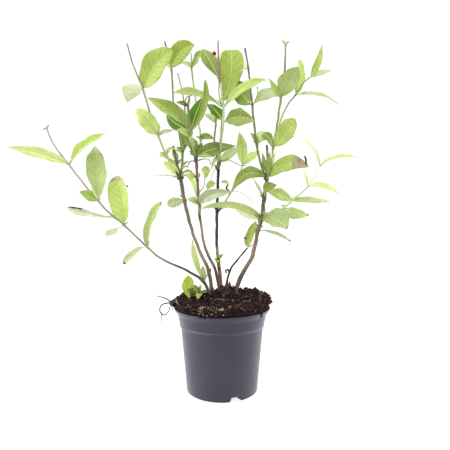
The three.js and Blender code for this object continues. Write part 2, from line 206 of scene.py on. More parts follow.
# Each limb: its route as (x, y, z, thickness) in millimetres, and the leaves at some of its points.
LIMBS = {
    "cane_left": {
        "route": [(-13, 6, 127, 5.2), (-19, 5, 162, 4.5), (-31, 4, 189, 4.1), (-42, 1, 221, 4),
                  (-51, 0, 258, 4.1), (-56, -3, 289, 4.5), (-60, -4, 303, 3.3), (-65, -5, 330, 2.7)],
        "leaves": {
            4: [leaf(117, -6, 67, 14, 4, 90, "sage", full=0.6, blunt=1, fold=10, sway=3, skew=-0.05)],
            5: [
                leaf(-127, 28, 36, 12, 4, 65, "sunny", full=0.5, blunt=0.7, fold=15, sway=2),
                leaf(-149, 49, 36, 8, 4, 55, "bright", fold=25, curl=-20),
                leaf(-53, -30, 52, 9, 12, 25, "bright", full=0.45, fold=45, curl=-45, sway=-2),
                leaf(-20, 12, 22, 6, 5, 45, "lush", curl=-40),
                leaf(-145, 1, 40, 3, 1, 20, "pale", full=0.5),
            ],
            6: [leaf(115, 48, 32, 8, 5, 40, "mid", full=0.45)],
        },
    },
    "cane_right": {
        "route": [(15, 0, 128, 5.6), (29, 0, 160, 5.2), (40, 0, 179, 5), (49, 1, 217, 5),
                  (53, 1, 231, 5.2), (57, 4, 258, 4.4), (61, 6, 289, 4.4), (62, 8, 312, 3.1),
                  (61, 10, 333, 2.6)],
        "leaves": {
            3: [leaf(-46, -12, 57, 8, 5, 25, "faint", full=0.55, char=0.94, blunt=0.8, fold=10, sway=-2)],
            4: [
                leaf(-160, 10, 88, 13, 16, 55, "mid", full=0.3, fold=25, blunt=0.6, sway=5, skew=0.08),
                leaf(-60, -11, 59, 29, 8, 50, "sage", full=0.5, char=0.95, blunt=0.6, fold=25, curl=10,
                     lop=0.2),
                leaf(65, -14, 64, 18, 4, 50, "lush"),
                leaf(40, 29, 21, 7, 2, 50, "mid"),
                leaf(132, 16, 53, 11, -3, 65, "pale", full=0.45, blunt=0.6, fold=15, curl=-10, sway=-2),
            ],
            5: [
                leaf(-65, 30, 38, 14, 8, 80, "lush", full=0.6, blunt=0.2, fold=10, twist=25, sway=2),
                leaf(112, 41, 50, 5, 2, 40, "pale"),
            ],
            6: [
                leaf(-47, 8, 70, 22, 11, 70, "lush", blunt=0.65, dry=0.68, skew=0.07, twist=15),
                leaf(-144, -20, 63, 18, 13, 75, "deep", full=0.35, blunt=0.2, curl=-15, sway=-2),
                leaf(101, 55, 45, 7, 1, 60, "deep"),
                leaf(-84, 60, 38, 8, 1, 60, "lush"),
                leaf(54, 56, 44, 7, 2, 60, "bright"),
                leaf(54, 15, 76, 18, 6, 50, "mid"),
            ],
        },
    },
    "cane_centre": {
        "route": [(-1, 12, 126, 5.2), (-4, 12, 164, 4.6), (-7, 12, 189, 3.8), (-7, 13, 243, 3.5),
                  (-6, 16, 274, 3.4), (-5, 18, 312, 3.8)],
        "leaves": {
            3: [leaf(67, 3, 79, 16, 3, 0, "faint")],
            5: [
                leaf(61, 19, 72, 15, 6, 115, "mid", full=0.35, blunt=0.3, fold=15, sway=-4, skew=0.05),
                leaf(-100, -13, 46, 6, 5, 40, "lush", curl=-40),
            ],
        },
    },
    "cane_inner": {
        "route": [(-2, -3, 129, 4.2), (-10, -3, 166, 3.6), (-19, -5, 184, 3.6), (-24, -8, 200, 3.2),
                  (-29, -13, 234, 3.1), (-30, -16, 251, 3.4), (-32, -20, 284, 2.9), (-33, -23, 314, 3.2)],
        "leaves": {
            5: [
                leaf(-47, 14, 58, 16, 4, 90, "faint", full=0.35, fold=30, blunt=0.4, curl=-40, sway=3,
                     skew=-0.09, lop=0.1),
                leaf(118, 12, 40, 10, 3, 60, "lush", full=0.4, blunt=0.4, fold=25),
            ],
            6: [leaf(-128, 21, 19, 7, 2, 50, "mid")],
            7: [
                leaf(48, 14, 79, 20, 6, 85, "dark", full=0.3, fold=25, blunt=0.1, curl=10, sway=-2),
                leaf(102, 39, 47, 10, 3, 60, "deep"),
                leaf(-54, -7, 36, 8, 2, 60, "deep"),
                leaf(-15, 62, 19, 9, 1, 75, "dark", blunt=0.4),
                leaf(178, 58, 20, 8, 2, 70, "deep", curl=-30),
                leaf(-75, 72, 17, 8, 1, 80, "deep", blunt=0.3),
            ],
        },
    },
    "cane_low_left": {
        "route": [(-16, -4, 128, 3.8), (-25, -6, 148, 3.6), (-49, -12, 165, 2.9), (-79, -18, 180, 2.5),
                  (-97, -23, 196, 2.4), (-125, -31, 225, 2.2), (-136, -35, 235, 2.1),
                  (-156, -39, 256, 2.1), (-177, -44, 284, 1.9), (-189, -47, 301, 1.9),
                  (-208, -49, 328, 1.7), (-214, -52, 345, 1.6)],
        "leaves": {
            1: [
                leaf(-139, 72, 61, 9, -3, 75, "lime", full=0.55, blunt=0.2, char=0.93, twist=-10),
                leaf(113, 80, 22, 8, 1, 60, "mid", full=0.5, blunt=0.3),
                leaf(63, 36, 16, 4, 1, 50, "faint"),
            ],
            4: [
                leaf(-43, 62, 66, 18, 19, 55, "mid", full=0.35, blunt=1, char=0.96, fold=30, curl=5,
                     sway=-10),
                leaf(-113, -13, 55, 11, 11, 40, "faint", full=0.72, blunt=1, char=0.96, stalk=0.25,
                     fold=30, curl=-20, twist=10, sway=7),
            ],
            5: [
                leaf(126, 68, 68, 28, 10, 95, "bright", full=0.5, blunt=1, dry=0.9, fold=30, curl=5,
                     sway=3, lop=0.15),
                leaf(-104, -11, 47, 14, 3, 40, "faint", full=0.75, blunt=0.5, stalk=0.3, curl=-10,
                     twist=15, sway=2),
                leaf(108, 30, 75, 17, 5, 40, "bright"),
            ],
            6: [leaf(-122, 11, 74, 9, 2, 65, "pale", full=0.75, blunt=1, fold=30, edge=0.74, twist=-50,
                     sway=4)],
            7: [
                leaf(119, 74, 78, 28, 6, 90, "mid", full=0.48, blunt=0.35, fold=30, curl=-15, skew=0.05),
                leaf(-100, 14, 46, 13, 2, 50, "lush", full=0.5, blunt=0.2, curl=-10, twist=-20, sway=1),
                leaf(106, 31, 82, 17, 5, 40, "bright"),
            ],
            9: [
                leaf(-156, 15, 71, 14, 6, 75, "lime", full=0.4, blunt=0.5, sway=2, skew=0.05),
                leaf(36, 39, 63, 21, 8, 35, "lush", full=0.5, fold=30, curl=15, blunt=0.3, sway=-2),
            ],
        },
    },
    "shoot_left_outer": {
        "route": [(-58, -5, 290, 2.8), (-72, -16, 315, 2.6), (-82, -23, 340, 2.5), (-91, -29, 367, 2.3),
                  (-99, -34, 396, 2.3), (-111, -39, 428, 1.8), (-117, -42, 451, 1.7)],
        "leaves": {
            1: [
                leaf(-127, -10, 13, 6, 2, 60, "bright"),
                leaf(25, 32, 19, 6, 6, 60, "bright", curl=-50),
                leaf(-160, 30, 9, 4, 1, 60, "lime"),
            ],
            2: [
                leaf(-129, 39, 44, 22, 1, 100, "sunny", full=0.5, blunt=0.8, curl=-25, twist=-10, sway=-1),
                leaf(69, 18, 46, 11, 2, 30, "faint", full=0.5, blunt=0.5),
                leaf(110, 22, 74, 17, 4, 40, "mid"),
            ],
            4: [
                leaf(-32, 44, 61, 36, 5, 75, "lush", full=0.45, blunt=0.8, fold=25, curl=-20, skew=0.04),
                leaf(-99, -21, 59, 21, 9, 60, "faint", full=0.65, blunt=0.4, stalk=0.1, curl=-30, fold=10,
                     sway=1),
                leaf(81, 35, 81, 20, 5, 60, "bright"),
            ],
        },
    },
    "shoot_left_upright": {
        "route": [(-55, 0, 295, 2.9), (-54, 10, 319, 2.7), (-59, 21, 347, 2.4), (-68, 31, 391, 2.2),
                  (-72, 39, 442, 2.2), (-82, 44, 484, 1.8)],
        "leaves": {
            0: [
                leaf(8, 52, 21, 4, 4, 60, "lush", curl=-35),
                leaf(-30, 35, 14, 4, 3, 60, "bright", curl=-30),
            ],
            1: [
                leaf(84, 43, 81, 16, 5, 30, "deep"),
                leaf(15, 62, 25, 6, 6, 50, "deep", curl=-90),
                leaf(-172, 45, 16, 5, 4, 60, "mid", curl=-60),
                leaf(-117, 13, 18, 6, 3, 60, "bright"),
            ],
            4: [
                leaf(-38, 27, 52, 29, 11, 85, "grass", full=0.4, blunt=0.6, fold=25, curl=10, twist=5),
                leaf(114, 31, 50, 20, 4, 50, "lush", full=0.5),
            ],
        },
    },
    "shoot_left_back": {
        "route": [(-55, 10, 312, 2.3), (-51, 31, 354, 2.1), (-55, 48, 398, 2), (-65, 60, 444, 1.8)],
        "leaves": {},
    },
    "shoot_inner_green": {
        "route": [(-34, -23, 313, 3.4), (-39, -35, 336, 3.6), (-39, -39, 343, 3.4), (-41, -51, 371, 2.4),
                  (-39, -56, 383, 1.8)],
        "leaves": {
            0: [
                leaf(-145, 49, 45, 9, 3, 60, "lush", full=0.45, fold=30),
                leaf(150, 40, 15, 7, 2, 60, "deep", curl=-30),
                leaf(-35, 48, 15, 7, 1, 70, "dark"),
            ],
            1: [leaf(-124, 13, 28, 10, 2, 60, "bright", full=0.5)],
            2: [
                leaf(-150, 32, 67, 27, 2, 45, "lush", full=0.4, fold=40, blunt=0.2, twist=-35, sway=-5,
                     skew=0.06),
                leaf(121, 24, 83, 17, 2, 90, "shade", full=0.4, blunt=0.3, fold=15, twist=5, sway=4),
                leaf(79, 41, 81, 22, 3, 35, "shade", full=0.45, fold=25, blunt=0.4, curl=10, twist=-15),
                leaf(-52, 52, 70, 11, -3, 55, "deep", full=0.55, fold=25, blunt=0.9, curl=25, twist=15,
                     sway=-6),
            ],
            3: [leaf(165, 22, 17, 6, 2, 70, "shade", blunt=0.3)],
        },
    },
    "shoot_inner_tall": {
        "route": [(-32, -22, 315, 2.6), (-28, -8, 337, 2.5), (-32, 12, 364, 2.3), (-38, 34, 403, 2.2),
                  (-44, 49, 448, 2.3), (-45, 56, 472, 1.9)],
        "leaves": {
            1: [leaf(-47, -3, 25, 12, 7, 85, "lush", full=0.25, fold=50, blunt=0.6, curl=-30, sway=-3,
                     skew=-0.06)],
            2: [leaf(94, 30, 79, 16, 5, 30, "deep")],
            4: [
                leaf(120, 29, 48, 13, 0, 35, "grass", full=0.45, blunt=0.2, fold=25, curl=-15, twist=10),
                leaf(-65, 21, 36, 14, 3, 65, "lush", full=0.6, blunt=1, curl=-10, sway=-3),
            ],
        },
    },
    "shoot_centre_green": {
        "route": [(-4, 17, 310, 3.2), (-2, 4, 332, 3.2), (2, -16, 359, 2.9), (2, -27, 375, 2.6),
                  (-2, -40, 402, 1.9)],
        "leaves": {
            2: [
                leaf(112, 30, 72, 14, 3, 80, "shade", full=0.45, blunt=0.3, fold=15),
                leaf(-54, -8, 68, 24, 6, 85, "deep", full=0.45, dry=0.95, blunt=0.2, fold=35, curl=10,
                     twist=35),
            ],
            3: [
                leaf(-142, 6, 75, 20, 7, 55, "deep", full=0.55, blunt=0.2, twist=20),
                leaf(-35, 25, 67, 16, 7, 60, "lush", full=0.45, fold=15, curl=-15, blunt=0.4, sway=-1),
            ],
        },
    },
    "shoot_centre_red": {
        "route": [(-5, 20, 312, 2.8), (-1, 27, 356, 2.6), (1, 34, 397, 2.5), (-4, 39, 428, 2.6),
                  (-5, 43, 457, 2.3), (-6, 47, 486, 2)],
        "leaves": {
            2: [
                leaf(61, 74, 87, 36, -7, 85, "grass", full=0.7, blunt=1.2, curl=-25, sway=-2),
                leaf(70, 15, 85, 18, 5, 30, "deep"),
            ],
            3: [
                leaf(123, 49, 76, 22, 5, 80, "dark", full=0.5, blunt=0.2, fold=15, sway=2),
                leaf(70, 23, 81, 17, 5, 30, "deep"),
                leaf(-77, 13, 27, 5, 1, 50, "deep"),
            ],
        },
    },
    "shoot_centre_short": {
        "route": [(-5, 22, 309, 2.6), (-11, 34, 340, 2.2), (-9, 44, 367, 2.2)],
        "leaves": {
            2: [
                leaf(112, 26, 53, 13, 3, 40, "mid"),
                leaf(-73, 38, 20, 11, 3, 50, "deep"),
            ],
        },
    },
    "shoot_centre_right": {
        "route": [(-6, 16, 241, 2.2), (5, 23, 257, 2), (23, 35, 289, 1.9), (29, 40, 308, 1.8)],
        "leaves": {
            3: [
                leaf(-103, 60, 50, 15, 4, 75, "sunny", full=0.4, fold=5, blunt=0.5, sway=-1),
                leaf(56, 24, 54, 12, 5, 70, "bright", full=0.4, blunt=0.4, curl=15, twist=10, sway=-2),
            ],
        },
    },
    "shoot_right_tall": {
        "route": [(59, 8, 286, 2.9), (51, 16, 317, 2.6), (48, 20, 334, 2.8), (42, 30, 391, 2.5),
                  (37, 38, 444, 2.3), (32, 40, 473, 2.4)],
        "leaves": {
            2: [
                leaf(147, 58, 21, 9, 3, 50, "deep"),
                leaf(-45, 19, 18, 7, 2, 50, "mid"),
                leaf(70, 21, 77, 18, 5, 40, "mid"),
            ],
            3: [
                leaf(120, 41, 69, 28, -2, 110, "dark", full=0.45, blunt=0.7, fold=10, curl=10),
                leaf(50, 26, 74, 22, 3, 70, "sage", full=0.6, blunt=0.7, fold=25, curl=-10),
            ],
            4: [leaf(-158, -27, 13, 6, 1, 40, "faint", full=0.4)],
        },
    },
    "shoot_right_outer": {
        "route": [(61, 5, 286, 2.8), (67, -3, 314, 2.6), (68, -6, 327, 2.8), (73, -14, 362, 2.5),
                  (76, -20, 389, 2.8), (80, -26, 425, 2.3), (80, -31, 456, 2.1)],
        "leaves": {
            2: [
                leaf(-69, 26, 64, 23, 4, 70, "bright", full=0.55, blunt=0.8, fold=5, twist=5, sway=-3),
                leaf(106, 32, 46, 14, 4, 60, "dark", full=0.6, blunt=0.6, fold=25, twist=-15),
            ],
            4: [
                leaf(-68, 37, 54, 25, 1, 100, "lime", full=0.45, blunt=0.6, fold=5, curl=30, twist=20,
                     sway=1),
                leaf(53, 39, 70, 14, 3, 60, "faint", full=0.5),
                leaf(-123, 27, 39, 9, -1, 90, "bright", full=0.45, blunt=0.2, fold=10, curl=5, twist=15),
            ],
        },
    },
    "shoot_right_fork": {
        "route": [(69, -5, 328, 2.2), (80, 10, 367, 2.2), (91, 20, 390, 2.1), (102, 26, 404, 2.1),
                  (115, 32, 423, 1.8), (123, 35, 430, 1.7)],
        "leaves": {
            3: [
                leaf(69, 60, 73, 14, -2, 110, "lush", full=0.45, blunt=0.9, fold=15, curl=-15, sway=-3),
                leaf(-33, -16, 69, 9, 7, 55, "faint", full=0.25, curl=-25, blunt=0.1, sway=-2, skew=0.06),
            ],
            5: [
                leaf(-67, 53, 49, 12, -4, 55, "lush", full=0.4, fold=5, twist=5, sway=-2),
                leaf(45, 23, 70, 12, 0, 50, "sage", full=0.4, blunt=0.2, curl=-15, skew=0.07),
            ],
        },
    },
    "shoot_right_low": {
        "route": [(54, 4, 231, 2.4), (87, 26, 247, 2.2), (100, 35, 257, 2.2), (125, 49, 278, 2),
                  (139, 60, 297, 1.9), (146, 66, 309, 1.8)],
        "leaves": {
            1: [leaf(-66, -10, 66, 17, -1, 50, "mid", full=0.4, char=0.93, blunt=0.3, fold=5, curl=15,
                     twist=20, sway=-2)],
            2: [
                leaf(-138, 15, 51, 16, 1, 70, "lush", full=0.45, blunt=0.5, fold=15, curl=-15, twist=-15,
                     sway=-1),
                leaf(33, 0, 75, 18, 4, 40, "mid", full=0.4, blunt=0.7, fold=25, twist=-15, sway=-7),
            ],
            3: [
                leaf(-39, -15, 54, 16, 6, 35, "lime", full=0.3, fold=30, blunt=0.1, sway=-1),
                leaf(94, 43, 40, 5, 2, 40, "lime", full=0.4, blunt=0.2, fold=15, twist=20),
            ],
            5: [
                leaf(139, 44, 69, 9, 13, 50, "pale", full=0.3, fold=15, blunt=0.1, sway=2),
                leaf(-27, 6, 60, 10, 9, 30, "lime", full=0.25, fold=25, blunt=0.1, curl=10, twist=35),
            ],
        },
    },
    "shoot_right_foot": {
        "route": [(4, -12, 131, 2.8), (10, -16, 163, 2.5), (23, -22, 183, 2.1), (33, -29, 196, 1.9)],
        "leaves": {3: [leaf(-60, 60, 41, 12, 4, 80, "lush", full=0.35, blunt=0.7, fold=30, skew=-0.06)]},
    },
    "sucker": {
        "part_of": "cane_low_left",
        "route": [(-20, -5, 135, 1.8), (-30, -10, 132, 1.6), (-39, -8, 129, 1.5), (-46, -4, 126, 1.3)],
        "leaves": {
            1: [
                leaf(-137, 39, 20, 9, 2, 50, "deep", blunt=0.5),
                leaf(-46, 62, 15, 9, 2, 50, "lush", blunt=0.6, curl=40),
                leaf(-94, -7, 17, 9, 3, 40, "deep", curl=-40, blunt=0.5),
                leaf(-170, 20, 15, 8, 2, 60, "deep", blunt=0.6),
            ],
            2: [
                leaf(-60, 50, 17, 9, 3, 50, "deep", blunt=0.5, curl=30),
                leaf(-123, 33, 18, 9, 2, 50, "lush", blunt=0.5),
                leaf(-90, 55, 16, 8, 2, 60, "grass", blunt=0.6),
            ],
            3: [leaf(-70, 80, 31, 17, 2, 85, "young", full=0.5, blunt=0.8, fold=10)],
        },
    },
    "low_bump": {
        "part_of": "cane_low_left",
        "route": [(-23, -5, 146, 3.2), (-26, -6, 152, 3.4), (-28, -6, 156, 1.6)],
    },
    "calyx_low_left": {
        "part_of": "cane_low_left",
        "route": [(-214, -52, 344, 1.8), (-213, -52, 347, 2.6), (-210.5, -52, 350, 1)],
    },
    "calyx_low_left_b": {
        "part_of": "cane_low_left",
        "route": [(-214, -52, 345, 1.8), (-216, -52, 345, 2.4), (-219, -52, 343, 1)],
    },
    "left_bud": {
        "part_of": "cane_left",
        "route": [(-18, -1, 157, 2), (-16, -4, 162, 2.6), (-15, -5, 167, 1)],
    },
    "left_stub": {
        "part_of": "cane_left",
        "route": [(-56, -5, 288, 2.4), (-59, -9, 292, 2.2), (-61, -10, 296, 1.6)],
    },
    "left_knot": {
        "part_of": "cane_left",
        "route": [(-59, -5, 285, 2), (-58, -6, 289, 4.4), (-54, -6, 290, 4.2), (-51, -5, 286, 1.6)],
    },
    "curled_stalk": {
        "part_of": "shoot_inner_green",
        "route": [(-40, -52, 374, 1.6), (-44, -53, 373, 1.2), (-44, -53, 379, 1), (-41, -54, 383, 0.9),
                  (-36, -54, 384, 0.8)],
    },
    "inner_knot": {
        "part_of": "cane_inner",
        "route": [(-33, -24, 305, 2.6), (-33, -25, 310, 5), (-33, -25, 315, 2.6)],
    },
    "hooked_twig": {
        "part_of": "cane_inner",
        "route": [(-31, -20, 309, 1.4), (-23, -20, 311, 1), (-17, -19, 310, 0.9), (-14, -19, 303, 0.9)],
    },
    "bent_twig": {
        "part_of": "cane_inner",
        "route": [(-34, -20, 308, 1.4), (-41, -18, 308, 1), (-46, -16, 299, 0.9)],
    },
    "second_stalk": {
        "part_of": "shoot_centre_red",
        "route": [(-3, 33, 398, 1.4), (-5, 36, 413, 1.2), (-4, 39, 424, 1)],
    },
    "bud_stalk": {
        "part_of": "shoot_centre_red",
        "route": [(-5, 42, 452, 1.2), (-6, 41, 456, 1.2), (-8, 39, 460, 1.2)],
    },
    "right_tall_stub": {
        "part_of": "shoot_right_tall",
        "route": [(43, 28, 388, 1.3), (48, 28, 401, 1.1), (50, 28, 411, 1.1), (49, 28, 416, 1.5)],
    },
    "calyx_right": {
        "part_of": "shoot_right_outer",
        "route": [(80, -31, 452, 2.4), (78, -31, 456, 2.6), (75, -31, 458, 1.2)],
    },
    "calyx_right_b": {
        "part_of": "shoot_right_outer",
        "route": [(80, -31, 452, 2.4), (83, -31, 456, 2.6), (85, -30, 456, 1.2)],
    },
    "black_horn": {
        "part_of": "cane_right",
        "route": [(105, -43, 302, 2), (105, -43, 308, 2.2), (103, -43, 313, 1.6)],
    },
    "hanging_stalk": {
        "part_of": "cane_centre",
        "route": [(-7, 15, 307, 1.1), (-12, 11, 295, 0.9), (-16, 9, 284, 0.8), (-20, 6, 272, 0.8)],
        "leaves": {3: [leaf(12, 36, 14, 10, 3, 75, "bright", full=0.5, blunt=0.8)]},
    },
    "centre_knot": {
        "part_of": "cane_centre",
        "route": [(-7, 15, 299, 2.6), (-6, 15, 303, 5.6), (-4, 15, 308, 4.6), (-1, 15, 313, 1.4)],
    },
    "centre_scale": {
        "part_of": "cane_centre",
        "route": [(-6, 14, 300, 2.4), (-9, 14, 303, 2), (-10, 14, 307, 0.9)],
    },
    "thin_stalk": {
        "part_of": "cane_centre",
        "route": [(-3, 15, 311, 0.9), (7, 13, 313, 0.9), (17, 11, 309, 0.9), (25, 10, 305, 0.8),
                  (33, 10, 305, 0.8)],
    },
    "dry_curl": {
        "part_of": "shoot_centre_right",
        "route": [(10, 26, 271, 2.2), (7, 25, 272, 2.6), (6, 24, 276, 2.2), (9, 24, 280, 1.6)],
        "leaves": {3: [leaf(-165, 15, 11, 6, 2, 60, "lime", curl=-30, blunt=0.5)]},
    },
    "inner_twig": {
        "part_of": "cane_inner",
        "route": [(-30, -18, 267, 1.2), (-24, -13, 276, 1), (-23, -10, 285, 0.9)],
        "leaves": {2: [leaf(172, 88, 17, 12, 2, 60, "bright", full=0.7, blunt=1)]},
    },
    "centre_stub_a": {
        "part_of": "cane_centre",
        "route": [(-6, 11, 243, 2.6), (-9, 9, 246, 2.2), (-11, 8, 249, 1.6)],
    },
    "centre_stub_b": {
        "part_of": "cane_centre",
        "route": [(-6, 11, 243, 2.6), (-3, 9, 245, 2.2), (-1, 8, 248, 1.6)],
    },
    "centre_tuft": {
        "part_of": "cane_centre",
        "route": [(-5, 9, 164, 2), (-5, 5, 170, 1.8), (-5, 4, 175, 1.4)],
        "leaves": {
            1: [
                leaf(-50, 62, 12, 7, 2, 60, "grass", blunt=0.7, curl=45),
                leaf(-135, 62, 11, 7, 2, 60, "grass", blunt=0.7, curl=45),
                leaf(-88, 40, 10, 7, 2, 60, "lush", blunt=0.7, curl=40),
                leaf(170, 45, 10, 5, 2, 60, "deep", curl=40),
            ],
            2: [
                leaf(-77, 81, 11, 7, 1, 60, "lush", blunt=0.4),
                leaf(-108, -8, 11, 6, 1, 60, "grass", blunt=0.3),
                leaf(10, 45, 12, 5, 2, 60, "deep"),
            ],
        },
    },
    "low_speck": {
        "part_of": "cane_low_left",
        "route": [(-124, -18, 275, 2), (-124, -18, 276, 2.8), (-124, -18, 277, 1.6)],
    },
    "leaf_speck": {
        "part_of": "shoot_centre_green",
        "route": [(22, -38, 372, 1.6), (23, -38, 370, 2), (25, -38, 368, 1.4)],
    },
    "foot_speck": {
        "part_of": "shoot_right_foot",
        "route": [(28, -36, 210, 1.8), (30, -36, 209, 2.4), (31, -36, 208, 1.4)],
    },
    "foot_curl": {
        "part_of": "shoot_right_foot",
        "route": [(10, -15, 161, 2.2), (8, -17, 166, 2), (5, -18, 165, 2), (6, -18, 161, 1.8)],
    },
    "hair_stalk": {
        "part_of": "shoot_centre_right",
        "route": [(9, 24, 264, 0.8), (15, 21, 270, 0.7), (29, 18, 267, 0.7), (43, 15, 255, 0.5)],
    },
}

# Tone of each limb along its route, as (point, tone). One entry is the tone of the whole limb.
SKINS = {
    "cane_left": [(0, "pink"), (1, "pink"), (1.5, "pale"), (2.5, "pale"), (3.3, "grey"), (4.1, "grey"),
                  (5, "dusk"), (5.4, "olive"), (6.6, "olive"), (6.8, "dark"), (7, "black")],
    "cane_right": [(0, "umber"), (0.9, "umber"), (1.3, "grey"), (2, "pink"), (3, "grey"), (4, "olive"),
                   (4.6, "dusk"), (5.5, "dark"), (6, "black"), (6.7, "olive"), (7.5, "olive"),
                   (8, "black")],
    "cane_centre": [(0, "brick"), (0.9, "brick"), (1, "black"), (1.1, "pink"), (1.7, "grey"), (2, "pale"),
                    (2.15, "dark"), (3, "dark"), (3.3, "black"), (3.6, "dusk"), (3.9, "black"),
                    (4.8, "black"), (5, "grey")],
    "cane_inner": [(0, "plum"), (1, "plum"), (1.3, "grey"), (1.7, "dusk"), (2.1, "grey"), (2.6, "grey"),
                   (3.6, "pale"), (4.1, "black"), (4.5, "pale"), (5, "olive"), (5.6, "red"), (6.6, "red"),
                   (7, "olive")],
    "cane_low_left": [(0, "loam"), (2.2, "loam"), (3, "pink"), (3.6, "pale"), (5, "pale"), (8, "mauve"),
                      (11, "mauve")],
    "shoot_left_outer": [(0, "green"), (1, "light"), (2, "light"), (3, "green"), (4, "straw"),
                         (6, "pink")],
    "shoot_left_upright": [(0, "olive"), (1, "green"), (2, "green"), (3, "olive"), (4, "olive"),
                           (4.6, "grey"), (5, "black")],
    "shoot_left_back": [(0, "dusk"), (2, "olive"), (2.5, "mauve"), (3, "mauve")],
    "shoot_inner_green": [(0, "olive"), (1, "light"), (2, "green"), (3, "grey"), (4, "straw")],
    "shoot_inner_tall": [(0, "olive"), (1, "light"), (2, "light"), (3, "green"), (4, "green"),
                         (5, "mauve")],
    "shoot_centre_green": [(0, "light"), (1, "light"), (2, "wan"), (4, "light")],
    "shoot_centre_red": [(0, "light"), (1, "olive"), (2, "olive"), (2.6, "red"), (3.4, "red"),
                         (4.2, "brick"), (5, "pink")],
    "shoot_centre_short": [(0, "olive")],
    "shoot_centre_right": [(0, "green"), (3, "light")],
    "shoot_right_tall": [(0, "olive"), (2, "olive"), (3, "dusk"), (4.6, "grey"), (5, "black")],
    "shoot_right_outer": [(0, "green"), (1, "light"), (2, "green"), (4, "green"), (5, "grey"),
                          (6, "straw")],
    "shoot_right_fork": [(0, "green"), (1, "green"), (3, "olive"), (5, "green")],
    "shoot_right_low": [(0, "light"), (1, "light"), (3, "light"), (5, "wan")],
    "shoot_right_foot": [(0, "black"), (2, "black"), (3, "dark")],
    "sucker": [(0, "green"), (3, "light")],
    "low_bump": [(0, "grey"), (2, "dusk")],
    "calyx_low_left": [(0, "straw")],
    "calyx_low_left_b": [(0, "straw")],
    "left_bud": [(0, "grey"), (2, "dusk")],
    "left_stub": [(0, "dark"), (2, "grey")],
    "left_knot": [(0, "dusk"), (1, "grey"), (3, "dark")],
    "inner_knot": [(0, "red"), (1, "dark"), (2, "dusk")],
    "hooked_twig": [(0, "dusk"), (2, "olive"), (3, "dark")],
    "bent_twig": [(0, "dusk"), (2, "olive")],
    "black_horn": [(0, "dark"), (1, "black"), (2, "black")],
    "centre_knot": [(0, "dark"), (1, "pink"), (2, "grey"), (3, "dusk")],
    "centre_scale": [(0, "grey"), (2, "dusk")],
    "curled_stalk": [(0, "dark")],
    "second_stalk": [(0, "red")],
    "bud_stalk": [(0, "mauve"), (2, "straw")],
    "right_tall_stub": [(0, "green"), (2.6, "olive"), (3, "black")],
    "calyx_right": [(0, "straw")],
    "calyx_right_b": [(0, "straw")],
    "hanging_stalk": [(0, "light")],
    "inner_twig": [(0, "olive"), (2, "green")],
    "thin_stalk": [(0, "olive"), (2, "dusk"), (4, "grey")],
    "dry_curl": [(0, "black"), (2, "dark"), (3, "dusk")],
    "centre_stub_a": [(0, "dark"), (2, "black")],
    "centre_stub_b": [(0, "dark"), (2, "black")],
    "centre_tuft": [(0, "dusk"), (2, "green")],
    "low_speck": [(0, "black")],
    "leaf_speck": [(0, "black")],
    "foot_speck": [(0, "black")],
    "foot_curl": [(0, "black")],
    "hair_stalk": [(0, "olive"), (1, "dusk"), (1.5, "light"), (3, "light")],
}


# ---------------------------------------------------------------- settings


def colour_prop(name, description, colour):
    return FloatVectorProperty(
        name=name, description=description, subtype="COLOR", size=4, min=0, max=1, default=linear(*colour)
    )


def plain_prop(name, description, default, **limits):
    return FloatProperty(name=name, description=description, default=default, **{"min": 0, **limits})


def length_prop(name, description, default):
    return FloatProperty(name=name, description=description, unit="LENGTH", min=0, default=default)


class PotSettings(bpy.types.PropertyGroup):
    colour: colour_prop("Colour", "Colour of the moulded plastic", (27, 24, 34))
    scuff_colour: colour_prop("Scuff colour", "Colour of the scuffs and dust", (44, 41, 52))
    bow: length_prop("Bow", "How far the wall is out of round", 0.0004)
    nick: length_prop("Nick", "Depth of the dent in the lip", 0.0018)


class CompostSettings(bpy.types.PropertyGroup):
    colour: colour_prop("Colour", "Colour of the moist peat", (9, 5, 5))
    dry_colour: colour_prop("Dry colour", "Colour of the drier crumbs", (40, 29, 27))
    bark_colour: colour_prop("Bark chip colour", "Colour of the bark chips", (90, 68, 58))
    grit_colour: colour_prop("Grit colour", "Colour of the pale grit and straw", (138, 121, 103))
    root_colour: colour_prop("Root colour", "Colour of the fine roots", (58, 46, 38))
    rough: length_prop("Roughness", "Height of the crumbs in the surface", 0.0016)
    crumbs: IntProperty(name="Crumbs", description="Loose crumbs on the mound", min=0, default=5000)
    fibres: IntProperty(name="Fibres", description="Loose fibres on the mound", min=0, default=900)


class StemSettings(bpy.types.PropertyGroup):
    step: length_prop("Step", "Distance between the rings of a stem", 0.0011)
    sides: IntProperty(name="Sides", description="Points round a stem", min=6, default=20)
    relief: plain_prop("Relief", "Depth of the bark cracks as a share of the radius", 0.06)
    joint: plain_prop("Joint swelling", "Swelling at a leaf joint", 0.3)
    girth: plain_prop("Girth", "Thickness with the bark, against that of the limb table", 1.12, min=0.5)


class LeafSettings(bpy.types.PropertyGroup):
    thick: length_prop("Thickness", "Thickness of a blade", 0.00042)
    quilt: length_prop("Quilting", "How far the blade bulges between its side veins", 0.0005)
    waviness: plain_prop("Waviness", "Unevenness of the outline", 0.05)
    teeth: length_prop("Teeth", "Depth of the teeth round a blade", 0.0003)
    gloss: plain_prop("Gloss", "Mirror share of a blade", 0.14, max=1)
    dull_gloss: plain_prop("Dull gloss", "Mirror share of a shaded blade", 0.03, max=1)
    rib_colour: colour_prop("Midrib colour", "Colour of the midribs and leaf stalks", (139, 149, 100))
    dry_colour: colour_prop("Dry colour", "Colour of the dried ends", (134, 117, 88))


